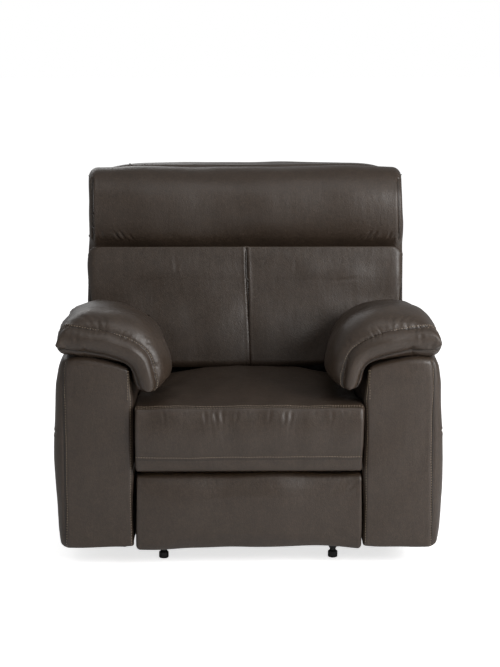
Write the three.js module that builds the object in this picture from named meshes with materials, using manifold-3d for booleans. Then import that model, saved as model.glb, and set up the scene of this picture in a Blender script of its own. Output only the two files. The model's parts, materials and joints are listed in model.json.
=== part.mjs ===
// Cinema recliner seat with a powered footrest, a powered back and a tilting headrest.
// Millimetres, +Z up. The origin is on the floor under the middle of the seat's outline.
// +X is the viewer's right, and the seat faces -Y.
import * as THREE from "three";
import { mergeVertices } from "three/addons/utils/BufferGeometryUtils.js";
import Module from "manifold-3d";

const wasm = await Module();
wasm.setup();

// Clearances and cutting
const gap = 0.3;
const running = 1;
const overrun = 6;
const bite = 1;

// Arms
const armInner = 310;
const armOuter = 525;
const armFront = -465;
const armRear = 265;
const armFloor = 60;
const armTop = 583;
const armTopInner = 563;
const armShoulder = 53;
const armCornerOuter = 36;
const armCornerInner = 12;
const armEdge = 6;
const armSideBulge = 8;
const armFoam = 11.5;
const armFoamOuter = 20;
const armFoamTop = 36;
const armPanel = 15;
const armFrameLift = 4;

// Arm pads
const padFront = -486;
const padRear = 52;
const padOuter = 518;
const padInner = 217;
const padTip = 472;
const padCrown = 700;

// Seat
const seatHalf = 306;
const seatFront = -480;
const seatRear = 130;
const seatUnder = 300;
const seatLip = 271;
const seatLipBack = 33;
const seatCrown = 459;
const seatSideFall = 9;
const railThick = 22;
const railWidth = 26;
const sideRailWidth = 38;
const sideRailInset = 10;
const rearRailBack = 40;
const springWire = 2;
const springSwing = 26;
const springCount = 4;
const springBends = 16;

// Base
const railInset = 50;
const tubeSide = 25;
const tubeWall = 2;
const baseFront = -385;
const baseRear = 335;
const footHeight = 35;
const footRadius = 13.5;
const footInset = 22;
const frontTubeY = -178;
const rearTubeY = 42;
const inletLength = 30;
const inletWidth = 22;
const inletHeight = 20;
const inletSocket = 12;
const boxLength = 70;
const boxWidth = 110;
const boxHeight = 34;
const boxPlace = 120;
const boxRib = 4;

// Mechanism side plates
const plateInner = 285;
const plateThick = 4;
const plateFront = -394;
const plateFloor = 50;
const plateFlange = 24;
const plateRearTop = 118;
const plateRearFoot = 80;
const earRadius = 19;
const studRadius = 6;
const studCollar = 14;
const studHeight = 150;
const studFrontY = -250;
const studRearY = 80;

// Footrest linkage
const driveY = -352.4;
const driveZ = 221;
const linkStep = 78;
const linkLean = 84;
const footrestTurn = 88;
const linkRatio = 0.5;
const controlDrop = 70;
const barHalf = 7.5;
const barThick = 4;
const barPitch = 5;
const rivetRadius = 4;
const rivetBoreRadius = 4.6;
const slotHalf = 5;
const slotSteps = 8;
const driveRadius = 11;
const stubRadius = 6.5;
const stubInner = 250;
const leverPlace = -60;
const leverThick = 8;
const leverHalf = 16;
const leverDrop = 50;
const leverSlotHalf = 9;
const leverSpare = 1.6;

// Footrest
const boardHalf = 295;
const bracketThick = 2.4;
const boardBack = 12;
const boardThick = 12;
const boardBottom = 62;
const boardTop = 243;
const footPadHalf = 307;
const footPadFront = -466;
const footPadBottom = 52;
const footPadTop = 257;
const footPadCrown = 4;

// Actuators
const motorRadius = 24;
const motorLength = 90;
const motorDrop = 52;
const housingRadius = 19;
const rodRadius = 9;
const rodBoreRadius = 9.6;
const rodInside = 55;
const boreSpare = 16;
const footGland = 12;
const backGland = 6;
const housingRear = 12;
const recliningPlace = 60;
const lugThick = 8;
const lugHalf = 13;
const cheekGap = 12;
const cheekBridge = 5;
const cheekThick = 6;
const cheekHalf = 9;

// Back
const hingeY = 155;
const hingeZ = 300;
const leanDegrees = 13;
const reclineLever = 90;
const reclineTurn = 40;
const reclineSlotHalf = 5.4;
const reclineHalf = 13;
const reclineFlangeHalf = 35;
const backFrontN = -108;
const backRearN = -20;
const backCrown = 15;
const backBottomZ = 451;
const wingBottomZ = 620;
const backTopZ = 812;
const backNarrow = 298;
const backWide = 470;
const weltDepth = 9;
const frameThick = 24.4;
const frameBottom = 45;
const frameNarrow = 278;
const frameWide = 456;
const frameTop = 712;
const frameCorner = 36;
const shellTopZ = 1030;
const shellFrontN = 5.3;
const shellDepth = 131;
const shellFlapN = 72;
const shellFlapZ = 190;
const shellStepZ = 338;
const shellWide = 471;
const bracketUp = 215;
const bracketRadius = 17;

// Headrest
const headPivotN = -34;
const headPivotT = 520;
const headArcRadius = 89.4;
const headHalf = 466;
const headFrontN = -150;
const headTopT = 727;
const headBackN = -32.3;
const headRingRadius = 15;
const headSeat = 32.4;
const headPlate = 11.6;
const headPlateTop = 700;
const headPlateReach = 100;
const headLugRadius = 10;
const headLugInset = 156;
const headLugThick = 5;
const headTilt = 30;

// Switches
const bezelY = -258;
const bezelZ = 486;
const bezelLength = 92;
const bezelHeight = 30;
const bezelFace = 522.5;
const bezelDepth = 11;
const buttonRadius = 7.7;
const buttonPitch = 21;
const buttonDepth = 5.5;
const buttonProud = 1.3;
const buttonTravel = 1.5;
const buttonCount = 4;

const rad = THREE.MathUtils.degToRad;

// Materials
const finish = (color, roughness, metalness) => () =>
  new THREE.MeshStandardMaterial({ color, roughness, metalness });
const leather = finish(0x3b3734, 0.5, 0);
const steel = finish(0x2a2a2c, 0.45, 0.6);
const zinc = finish(0xb9bcc0, 0.35, 1);
const wood = finish(0xb08a5c, 0.7, 0);
const plastic = finish(0x18181a, 0.5, 0);

const seat = new THREE.Group();

function place(parent, name, geometry, material) {
  const mesh = new THREE.Mesh(geometry, material());
  mesh.name = name;
  parent.add(mesh);
  return mesh;
}

// A geometry with its vertices merged, as a closed solid.
function solidOf(geometry) {
  const bare = geometry.clone();
  bare.deleteAttribute("normal");
  bare.deleteAttribute("uv");
  const merged = mergeVertices(bare, gap / 1000);
  const triVerts = new Uint32Array(merged.index.array);
  const vertProperties = merged.attributes.position.array;
  return new wasm.Manifold(
    new wasm.Mesh({ numProp: 3, vertProperties, triVerts }),
  );
}

function geometryOf(solid) {
  const mesh = solid.getMesh();
  const positions = new Float32Array(mesh.numVert * 3);
  for (let i = 0; i < mesh.numVert; i++)
    positions.set(
      mesh.vertProperties.subarray(i * mesh.numProp, i * mesh.numProp + 3),
      i * 3,
    );
  return new THREE.BufferGeometry()
    .setAttribute("position", new THREE.BufferAttribute(positions, 3))
    .setIndex(new THREE.BufferAttribute(mesh.triVerts, 1));
}

function join(...geometries) {
  return geometryOf(
    geometries.map(solidOf).reduce((all, next) => all.add(next)),
  );
}

function cut(geometry, ...tools) {
  return geometryOf(
    tools.reduce(
      (left, tool) => left.subtract(solidOf(tool)),
      solidOf(geometry),
    ),
  );
}

function box(x0, x1, y0, y1, z0, z1) {
  return new THREE.BoxGeometry(
    Math.abs(x1 - x0),
    Math.abs(y1 - y0),
    Math.abs(z1 - z0),
  ).translate((x0 + x1) / 2, (y0 + y1) / 2, (z0 + z1) / 2);
}

function rodX(radius, x0, x1, y, z, sides) {
  return new THREE.CylinderGeometry(radius, radius, Math.abs(x1 - x0), sides)
    .rotateZ(rad(90))
    .translate((x0 + x1) / 2, y, z);
}

// Turns a shape that is drawn in (y, z) into a plate that lies between x0 and x1.
const fromSide = new THREE.Matrix4().makeBasis(
  new THREE.Vector3(0, 1, 0),
  new THREE.Vector3(0, 0, 1),
  new THREE.Vector3(1, 0, 0),
);
function plate(shape, x0, x1) {
  const low = Math.min(x0, x1);
  const depth = Math.abs(x1 - x0);
  return new THREE.ExtrudeGeometry(shape, { depth, bevelEnabled: false })
    .applyMatrix4(fromSide)
    .translate(low, 0, 0);
}

function circlePoints(centre, radius, sides) {
  return Array.from({ length: sides }, (_, i) => {
    const turn = (2 * Math.PI * (i + 0.5)) / sides;
    return new THREE.Vector2(
      centre.x + radius * Math.cos(turn),
      centre.y + radius * Math.sin(turn),
    );
  });
}

// The outline that a band stretched round some circles would take.
function around(centres, radius, sides = 10) {
  const points = centres
    .flatMap((c) => circlePoints(c, c.radius ?? radius, sides))
    .sort((a, b) => a.x - b.x || a.y - b.y);
  const turn = (o, a, b) =>
    (a.x - o.x) * (b.y - o.y) - (a.y - o.y) * (b.x - o.x);
  const half = (list) => {
    const hull = [];
    for (const p of list) {
      while (hull.length > 1 && turn(hull.at(-2), hull.at(-1), p) <= 0)
        hull.pop();
      hull.push(p);
    }
    return hull.slice(0, -1);
  };
  return new THREE.Shape([...half(points), ...half([...points].reverse())]);
}

function drill(shape, centre, radius, sides = 10) {
  shape.holes.push(
    new THREE.Path(circlePoints(centre, radius, sides).reverse()),
  );
  return shape;
}

// A closed body through rings of points, with flat ends. Every ring has as many points.
function loft(rings, flat = ["x", "z"]) {
  const count = rings[0].length;
  const positions = rings.flat().flatMap((p) => [p.x, p.y, p.z]);
  const index = [];
  for (let i = 0; i + 1 < rings.length; i++)
    for (let j = 0; j < count; j++) {
      const a = i * count + j;
      const b = i * count + ((j + 1) % count);
      index.push(a, b, b + count, a, b + count, a + count);
    }
  const contour = (ring) =>
    ring.map((p) => new THREE.Vector2(p[flat[0]], p[flat[1]]));
  const last = (rings.length - 1) * count;
  const first = contour(rings[0]);
  const turned = THREE.ShapeUtils.isClockWise(first);
  for (const [a, b, c] of THREE.ShapeUtils.triangulateShape(first, []))
    index.push(...(turned ? [a, b, c] : [a, c, b]));
  const end = contour(rings.at(-1));
  for (const [a, b, c] of THREE.ShapeUtils.triangulateShape(end, []))
    index.push(...(turned ? [a, c, b] : [a, b, c]).map((k) => k + last));
  const geometry = new THREE.BufferGeometry()
    .setAttribute("position", new THREE.Float32BufferAttribute(positions, 3))
    .setIndex(index);
  return facingOut(geometry);
}

function volumeOf(geometry) {
  const p = geometry.attributes.position;
  const at = (i) => new THREE.Vector3().fromBufferAttribute(p, i);
  let sum = 0;
  for (let i = 0; i < geometry.index.count; i += 3) {
    const [a, b, c] = [0, 1, 2].map((k) => at(geometry.index.getX(i + k)));
    sum += a.dot(b.cross(c)) / 6;
  }
  return sum;
}

function flipped(geometry) {
  const index = geometry.index.array;
  for (let i = 0; i < index.length; i += 3)
    [index[i + 1], index[i + 2]] = [index[i + 2], index[i + 1]];
  return geometry;
}

function facingOut(geometry) {
  return volumeOf(geometry) < 0 ? flipped(geometry) : geometry;
}

// The same piece for the other side of the seat.
function mirrored(geometry) {
  const copy = mergeVertices(geometry.clone(), gap / 1000);
  return flipped(copy.scale(-1, 1, 1));
}

// Places a piece that is made for the right side, and its mirror image for the left.
function pair(parent, name, geometry, material) {
  place(parent, name + "_right", geometry, material);
  place(parent, name + "_left", mirrored(geometry), material);
}

// Linkage points in the side view, as (y, z). A turn of the drive raises the bars.
const sidePoint = (y, z) => new THREE.Vector2(y, z);
const along = (degrees) => sidePoint(-Math.cos(rad(degrees)), Math.sin(rad(degrees)));
const step = (from, degrees, length) =>
  from.clone().addScaledVector(along(degrees), length);
function linkage(turn) {
  const down = turn - linkLean;
  const up = linkLean - linkRatio * turn;
  const drive = sidePoint(driveY, driveZ);
  const cross1 = step(drive, down, linkStep);
  const far1 = step(drive, down, 2 * linkStep);
  const top1 = step(cross1, up, linkStep);
  const tail = step(cross1, up, -linkStep);
  const cross2 = step(far1, up, linkStep);
  const toe = step(far1, up, 2 * linkStep);
  const control = step(cross2, turn - 90, controlDrop);
  const heel = step(toe, turn - 90, controlDrop);
  return { drive, cross1, far1, top1, tail, cross2, toe, control, heel };
}
const link = linkage(0);
const layer = (n) => {
  const outer = plateInner - running - n * barPitch;
  return { outer, inner: outer - barThick };
};
const [layerA1, layerB1, layerA2, layerB2, layerA3, layerFoot] = [
  0, 1, 2, 3, 4, 5,
].map(layer);

makeBase();
makeSidePlates();
makeArms();
makeSeat();
makeFootrest();
makeActuators();
makeBack();
makeSwitches();

// The pieces are drawn from the arms' front, and the origin is then set under the outline's middle.
seat.updateMatrixWorld(true);
const outline = new THREE.Box3().setFromObject(seat, true);
seat.position.y = -(outline.min.y + outline.max.y) / 2;

export default seat;

function makeBase() {
  const railHalfSpan = plateInner - railInset;
  const half = tubeSide / 2;
  const tubeFloor = footHeight + gap;
  const crossFloor = tubeFloor + tubeSide + gap;
  const inner = half - tubeWall;
  const rail = cut(
    box(
      railHalfSpan - half,
      railHalfSpan + half,
      baseFront,
      baseRear,
      tubeFloor,
      tubeFloor + tubeSide,
    ),
    box(
      railHalfSpan - inner,
      railHalfSpan + inner,
      baseFront - overrun,
      baseRear + overrun,
      tubeFloor + tubeWall,
      tubeFloor + tubeSide - tubeWall,
    ),
  );
  pair(seat, "base_rail", rail, steel);

  const footShares = [
    [0, 0],
    [0.86, 0],
    [1, 0.1],
    [1, 0.5],
    [0.82, 0.62],
    [0.82, 1],
    [0, 1],
  ];
  const footProfile = footShares.map(
    ([radiusShare, heightShare]) =>
      new THREE.Vector2(footRadius * radiusShare, footHeight * heightShare),
  );
  const footOf = (x, y) =>
    new THREE.LatheGeometry(footProfile, 12).rotateX(rad(90)).translate(x, y, 0);
  for (const [end, y] of [
    ["front", baseFront + footInset],
    ["rear", baseRear - footInset],
  ])
    for (const [side, x] of [
      ["right", railHalfSpan],
      ["left", -railHalfSpan],
    ])
      place(seat, `foot_${end}_${side}`, footOf(x, y), plastic);

  // The cross tubes join the side plates and carry the actuators on lugs.
  const reach = plateInner - gap;
  const crossTube = (y) =>
    cut(
      box(-reach, reach, y - half, y + half, crossFloor, crossFloor + tubeSide),
      box(
        -reach - overrun,
        reach + overrun,
        y - inner,
        y + inner,
        crossFloor + tubeWall,
        crossFloor + tubeSide - tubeWall,
      ),
    );
  const lug = (x, y, z) => {
    const foot = crossFloor + tubeSide - tubeWall / 2;
    const centre = { x: y, y: z };
    const base = [
      { x: y - half / 2, y: foot + half / 2, radius: half / 2 },
      { x: y + half / 2, y: foot + half / 2, radius: half / 2 },
    ];
    const outline = drill(around([centre, ...base], lugHalf), sidePoint(y, z), rivetBoreRadius);
    return plate(outline, x - lugThick / 2, x + lugThick / 2);
  };
  place(
    seat,
    "front_cross_tube",
    join(crossTube(frontTubeY), lug(recliningPlace, frontTubeY, recliningZ())),
    steel,
  );
  place(
    seat,
    "rear_cross_tube",
    join(crossTube(rearTubeY), lug(leverPlace, rearTubeY, footrestRodZ())),
    steel,
  );

  const boxFloor = crossFloor + tubeSide + gap;
  const controlBody = box(
    boxPlace,
    boxPlace + boxWidth,
    frontTubeY - boxLength / 2,
    frontTubeY + boxLength / 2,
    boxFloor,
    boxFloor + boxHeight,
  );
  const controlRib = box(
    boxPlace + boxWidth / 2 - boxRib,
    boxPlace + boxWidth / 2 + boxRib,
    frontTubeY - boxLength / 2,
    frontTubeY + boxLength / 2,
    boxFloor + boxHeight - boxRib,
    boxFloor + boxHeight + boxRib,
  );
  place(seat, "control_box", join(controlBody, controlRib), plastic);

  const inletFloor = tubeFloor + tubeSide + gap;
  const wall = (inletWidth - inletSocket) / 2;
  const inletBody = box(
    -railHalfSpan - inletWidth / 2,
    -railHalfSpan + inletWidth / 2,
    baseRear - inletLength,
    baseRear,
    inletFloor,
    inletFloor + inletHeight,
  );
  const socket = box(
    -railHalfSpan - inletSocket / 2,
    -railHalfSpan + inletSocket / 2,
    baseRear - inletSocket,
    baseRear + overrun,
    inletFloor + wall,
    inletFloor + inletHeight - wall,
  );
  place(seat, "power_inlet", cut(inletBody, socket), plastic);
}

// The heights of the two actuator rods follow their levers.
function footrestRodZ() {
  return driveZ - leverDrop;
}

function recliningZ() {
  return hingeZ - reclineLever;
}

// Each side plate carries the drive tube, the slot of the first link, the seat rail and the back.
function makeSidePlates() {
  const outer = plateInner + plateThick;
  const top = seatUnder - gap - railThick - gap;
  const pivot = sidePoint(hingeY, hingeZ);
  const body = new THREE.Shape([
    sidePoint(plateFront, plateFloor),
    sidePoint(plateRearFoot, plateFloor),
    sidePoint(hingeY, hingeZ - reclineLever),
    sidePoint(hingeY + earRadius, hingeZ),
    sidePoint(plateRearTop, top),
    sidePoint(driveY + plateFlange, top),
    sidePoint(plateFront, driveZ + earRadius),
  ]);
  drill(body, link.drive, stubRadius + gap, 12);
  const path = Array.from(
    { length: slotSteps + 1 },
    (_, i) => linkage((i / slotSteps) * footrestTurn).tail,
  );
  body.holes.push(slotPath(path));
  const web = plate(body, plateInner, outer);
  const ear = plate(around([pivot], earRadius, 14), plateInner, outer);
  const flange = box(
    outer - plateFlange,
    outer,
    driveY + plateFlange,
    plateRearTop,
    top - plateThick,
    top,
  );
  const studs = [studFrontY, studRearY].flatMap((y) => [
    rodX(studRadius, plateInner, armInner + armFoam, y, studHeight, 10),
    rodX(studCollar, outer - bite, armInner - gap, y, studHeight, 12),
  ]);
  const hole = rodX(
    rivetBoreRadius,
    plateInner - overrun,
    outer + overrun,
    hingeY,
    hingeZ,
    10,
  );
  pair(seat, "side_plate", cut(join(web, ear, flange, ...studs), hole), steel);
}

// The slot that the tail of the first link slides in, with round ends.
function slotPath(path) {
  const sides = (p, i) => {
    const before = path[Math.max(i - 1, 0)];
    const after = path[Math.min(i + 1, path.length - 1)];
    const ahead = after.clone().sub(before).normalize();
    return (degrees) =>
      sidePoint(slotHalf, 0)
        .rotateAround(new THREE.Vector2(), ahead.angle() + rad(degrees))
        .add(p);
  };
  const turned = path.map(sides);
  const last = turned.length - 1;
  const left = turned.map((from) => from(90));
  const right = turned.map((from) => from(-90)).reverse();
  const farEnd = [45, 0, -45].map((degrees) => turned[last](degrees));
  const nearEnd = [-135, 180, 135].map((degrees) => turned[0](degrees));
  return new THREE.Path([...left, ...farEnd, ...right, ...nearEnd]);
}

// Ends of a soft piece: where each station lies along it, and how far it draws in there.
function stations(from, to, table) {
  return table.map(([placeShare, drawShare]) => ({
    at: from + (to - from) * placeShare,
    share: placeShare,
    draw: drawShare,
  }));
}

function makeArms() {
  const armEndShares = [
    [0, 1],
    [0.008, 0.5],
    [0.022, 0.2],
    [0.05, 0],
    [0.35, 0],
    [0.7, 0],
    [0.95, 0],
    [0.98, 0.2],
    [0.993, 0.5],
    [1, 1],
  ];
  const sideShares = [
    [0.02, 0.75],
    [0.1, 0.25],
    [0.3, 0],
    [0.6, 0],
    [0.85, 0.2],
    [0.95, 0.6],
  ];
  // A section square to Y: bottom, outer side, top and inner shoulder.
  const rings = stations(armFront, armRear, armEndShares).map(
    ({ at, share, draw }) => {
      const bow = armSideBulge * (1 - (2 * share - 1) ** 2);
      const outer = armOuter - armSideBulge + bow - draw * armCornerOuter;
      const inner = armInner + draw * armCornerInner;
      const low = armFloor + draw * armEdge;
      const high = armTop - draw * armEdge;
      const inside = armTopInner - draw * armEdge;
      const p = (x, z) => new THREE.Vector3(x, at, z);
      return [
        p(inner, low),
        p(outer - armCornerOuter, low),
        ...sideShares.map(([heightShare, inShare]) =>
          p(outer - armSideBulge * 2 * inShare, low + (high - low) * heightShare),
        ),
        p(outer - armCornerOuter, high),
        p((inner + outer) / 2, high - (high - inside) / 4),
        p(inner + armShoulder / 2, inside),
        p(inner + armShoulder / 8, inside - armShoulder / 4),
        p(inner, inside - armShoulder / 2),
      ];
    },
  );
  const block = loft(rings);
  const frameOuter = armOuter - armFoamOuter;
  const frameInner = armInner + armFoam;
  const frameFront = armFront + armFoam + gap;
  const frameRear = armRear - armFoam - gap;
  const frameHigh = armTopInner - armFoamTop + armFoamOuter;
  const frameFloor = armFloor + armFrameLift;
  const cavity = box(
    frameInner,
    frameOuter,
    frameFront,
    frameRear,
    armFloor - overrun,
    frameHigh,
  );
  const studHoles = [studFrontY, studRearY].map((y) =>
    rodX(
      studRadius + gap * 2,
      armInner - overrun,
      frameInner + overrun,
      y,
      studHeight,
      10,
    ),
  );
  const bezelHole = box(
    bezelFace - bezelDepth - gap,
    armOuter + overrun,
    bezelY - bezelLength / 2 - gap,
    bezelY + bezelLength / 2 + gap,
    bezelZ - bezelHeight / 2 - gap,
    bezelZ + bezelHeight / 2 + gap,
  );
  const cover = cut(block, cavity, ...studHoles);
  place(seat, "arm_cover_right", cover, leather);
  place(seat, "arm_cover_left", mirrored(cut(cover, bezelHole)), leather);

  const chamber = (frameOuter - frameInner - armPanel * 3) / 2;
  const chambers = [0, 1].map((n) => {
    const start = frameInner + gap + armPanel + n * (chamber + armPanel);
    return box(
      start,
      start + chamber - gap,
      frameFront + armPanel,
      frameRear - armPanel,
      frameFloor - overrun,
      frameHigh - armPanel,
    );
  });
  const frame = cut(
    box(
      frameInner + gap,
      frameOuter - gap,
      frameFront + gap,
      frameRear - gap,
      frameFloor,
      frameHigh - gap,
    ),
    ...chambers,
  );
  pair(seat, "arm_frame", frame, wood);
  makePads();
}

// The pad lies on the arm and turns down over its inner edge. Its section is a band between two lines:
// each row gives the reach from the outer side and the height above the tip, on top and underneath.
function makePads() {
  const padShares = [
    [0.0, 0.7, 0.02, 0.59],
    [0.015, 0.8, 0.045, 0.513],
    [0.055, 0.88, 0.07, 0.508],
    [0.13, 0.955, 0.16, 0.505],
    [0.25, 0.995, 0.27, 0.5],
    [0.4, 0.99, 0.4, 0.478],
    [0.54, 0.95, 0.53, 0.448],
    [0.67, 0.88, 0.62, 0.418],
    [0.79, 0.775, 0.665, 0.375],
    [0.89, 0.635, 0.689, 0.315],
    [0.965, 0.485, 0.694, 0.235],
    [1.0, 0.32, 0.694, 0.155],
    [0.98, 0.17, 0.7, 0.1],
    [0.9, 0.05, 0.74, 0.035],
  ];
  // The front seams: how far each top and bottom point moves towards the middle of the band there.
  const bandShares = [
    [0.18, 0.3],
    [0.2, 0.3],
    [0.24, 0.25],
    [0.28, 0.2],
    [0.3, 0.16],
    [0.32, 0.14],
    [0.32, 0.12],
    [0.32, 0.12],
    [0.31, 0.12],
    [0.3, 0.12],
    [0.3, 0.12],
    [0.28, 0.14],
    [0.3, 0.2],
    [0.35, 0.35],
  ];
  const padEndShares = [
    [0, 1, 0],
    [0.012, 0.62, 0],
    [0.035, 0.3, 0],
    [0.075, 0.1, 0],
    [0.14, 0, 0],
    [0.4, 0, 0.05],
    [0.65, 0.02, 0.16],
    [0.85, 0.12, 0.32],
    [0.94, 0.4, 0.42],
    [0.98, 0.8, 0.5],
    [1, 1.25, 0.55],
  ];
  const sinkBandShare = 0.35;
  const sunkLimitShare = 0.7;
  const raisedLimitShare = 0.25;
  const reach = padOuter - padInner;
  const rise = padCrown - padTip;
  const rings = padEndShares.map(([placeShare, drawShare, sinkShare]) => {
    const y = padFront + (padRear - padFront) * placeShare;
    const top = [];
    const under = [];
    padShares.forEach(([topIn, topUp, lowIn, lowUp], i) => {
      const high = new THREE.Vector3(padOuter - reach * topIn, y, padTip + rise * topUp);
      const low = new THREE.Vector3(padOuter - reach * lowIn, y, padTip + rise * lowUp);
      const across = low.clone().sub(high);
      const [topShare, lowShare] = bandShares[i];
      const sunk = Math.min(topShare * drawShare + sinkShare * sinkBandShare, sunkLimitShare);
      const raised = Math.min(lowShare * drawShare, raisedLimitShare);
      top.push(high.clone().addScaledVector(across, sunk));
      under.push(low.clone().addScaledVector(across, -raised));
    });
    return [...top, ...under.reverse()];
  });
  const pad = loft(rings);
  const arm = armSolid();
  pair(seat, "arm_pad", cut(pad, arm), leather);
}

// The space that the pad must leave to the arm under it.
function armSolid() {
  const grown = gap + running / 2;
  const points = [
    new THREE.Vector2(armInner - grown, armFloor),
    new THREE.Vector2(armOuter + overrun, armFloor),
    new THREE.Vector2(armOuter + overrun, armTop + grown),
    new THREE.Vector2(armOuter - armCornerOuter, armTop + grown),
    new THREE.Vector2(
      (armInner + armOuter) / 2,
      armTop - (armTop - armTopInner) / 4 + grown,
    ),
    new THREE.Vector2(armInner + armShoulder / 2, armTopInner + grown),
    new THREE.Vector2(
      armInner + armShoulder / 8 - grown,
      armTopInner - armShoulder / 4 + grown,
    ),
    new THREE.Vector2(armInner - grown, armTopInner - armShoulder / 2),
  ];
  const depth = armRear - armFront + 2 * overrun;
  const extrusion = new THREE.ExtrudeGeometry(new THREE.Shape(points), {
    depth,
    bevelEnabled: false,
  });
  return extrusion.rotateX(rad(90)).translate(0, armRear + overrun, 0);
}

function makeSeat() {
  const railTop = seatUnder - gap;
  const railFloor = railTop - railThick;
  const half = plateInner + plateThick + sideRailInset;
  const frontRail = seatFront + seatLipBack + gap;
  const rearRail = seatRear - rearRailBack;
  place(
    seat,
    "seat_rail_front",
    box(-half, half, frontRail, frontRail + railWidth, railFloor, railTop),
    wood,
  );
  place(
    seat,
    "seat_rail_rear",
    box(-half, half, rearRail - railWidth, rearRail, railFloor, railTop),
    wood,
  );
  pair(
    seat,
    "seat_rail",
    box(
      half - sideRailWidth,
      half,
      frontRail + railWidth + gap,
      rearRail - railWidth - gap,
      railFloor,
      railTop,
    ),
    wood,
  );

  // Sinuous springs run from the front rail to the rear rail.
  const start = frontRail + railWidth + gap;
  const end = rearRail - railWidth - gap;
  const pitch = (end - start) / (springBends + 1);
  const span = 2 * (half - sideRailWidth);
  for (let n = 0; n < springCount; n++) {
    const x = span * ((n + 0.5) / springCount - 0.5);
    const points = [
      [x, start],
      [x, start + pitch / 4],
    ];
    for (let i = 1; i <= springBends; i++) {
      const side = i % 2 ? springSwing : -springSwing;
      const middle = start + pitch * i;
      points.push([x + side, middle - pitch / 4], [x + side, middle + pitch / 4]);
    }
    points.push([x, end - pitch / 4], [x, end]);
    place(seat, `seat_spring_${n + 1}`, wire(points, railFloor + railThick / 2), zinc);
  }

  // The cushion's outline from the lip, up the front, over the crown and down the rear:
  // shares of its depth and of its height above the underside, and how much it gives at the ends.
  const seatShares = [
    [0.01, -0.11, 0.6],
    [0.002, 0.06, 0.5],
    [0.0, 0.3, 0.7],
    [0.0, 0.55, 0.7],
    [0.004, 0.8, 0.6],
    [0.016, 0.935, 0.6],
    [0.05, 0.967, 0.8],
    [0.15, 0.99, 1],
    [0.35, 1.0, 1],
    [0.6, 1.0, 1.2],
    [0.8, 0.985, 1.4],
    [0.88, 0.945, 1.4],
    [0.935, 0.85, 1.2],
    [0.98, 0.7, 1],
    [1.0, 0.5, 0.6],
    [0.992, 0.2, 0.3],
    [0.97, 0.0, 0],
  ];
  const seatEndShares = [
    [0, 1],
    [0.006, 0.55],
    [0.018, 0.22],
    [0.045, 0.05],
    [0.12, 0],
    [0.25, 0],
    [0.4, 0],
    [0.5, 0],
    [0.6, 0],
    [0.75, 0],
    [0.88, 0],
    [0.955, 0.05],
    [0.982, 0.22],
    [0.994, 0.55],
    [1, 1],
  ];
  const endPullShare = 0.45;
  const endFallShare = 1.4;
  const crownFromShare = 0.7;
  const depth = seatRear - seatFront;
  const height = seatCrown - seatUnder;
  const lipBack = seatFront + seatLipBack;
  const lipHeight = seatUnder - seatLip;
  const rings = stations(-seatHalf, seatHalf, seatEndShares).map(
    ({ at, share, draw }) => {
      const fall = seatSideFall * (2 * share - 1) ** 2;
      const p = (y, z) => new THREE.Vector3(at, y, z);
      const outline = seatShares.map(([depthShare, heightShare, giveShare]) => {
        const forward = (0.5 - depthShare) * 2;
        const inwards = draw * seatLipBack * endPullShare * giveShare * forward;
        const lower = heightShare > crownFromShare ? giveShare : 0;
        const drop = (fall + draw * seatSideFall * endFallShare) * lower;
        return p(
          seatFront + depth * depthShare + inwards,
          seatUnder + height * heightShare - drop,
        );
      });
      return [
        p(lipBack, seatUnder),
        p(lipBack, seatLip + lipHeight / 8),
        p(lipBack - seatLipBack / 3, seatLip),
        ...outline,
      ];
    },
  );
  place(seat, "seat_cushion", loft(rings, ["y", "z"]), leather);
}

// A thin wire through points on a level plane, with a square section set on edge.
function wire(points, z) {
  const rings = points.map(([x, y], i) => {
    const [x0, y0] = points[Math.max(i - 1, 0)];
    const [x1, y1] = points[Math.min(i + 1, points.length - 1)];
    const side = new THREE.Vector2(y1 - y0, x0 - x1).normalize();
    const at = (across, up) =>
      new THREE.Vector3(x + side.x * across, y + side.y * across, z + up);
    return [
      at(-springWire, 0),
      at(0, springWire),
      at(springWire, 0),
      at(0, -springWire),
    ];
  });
  return loft(rings);
}

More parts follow.
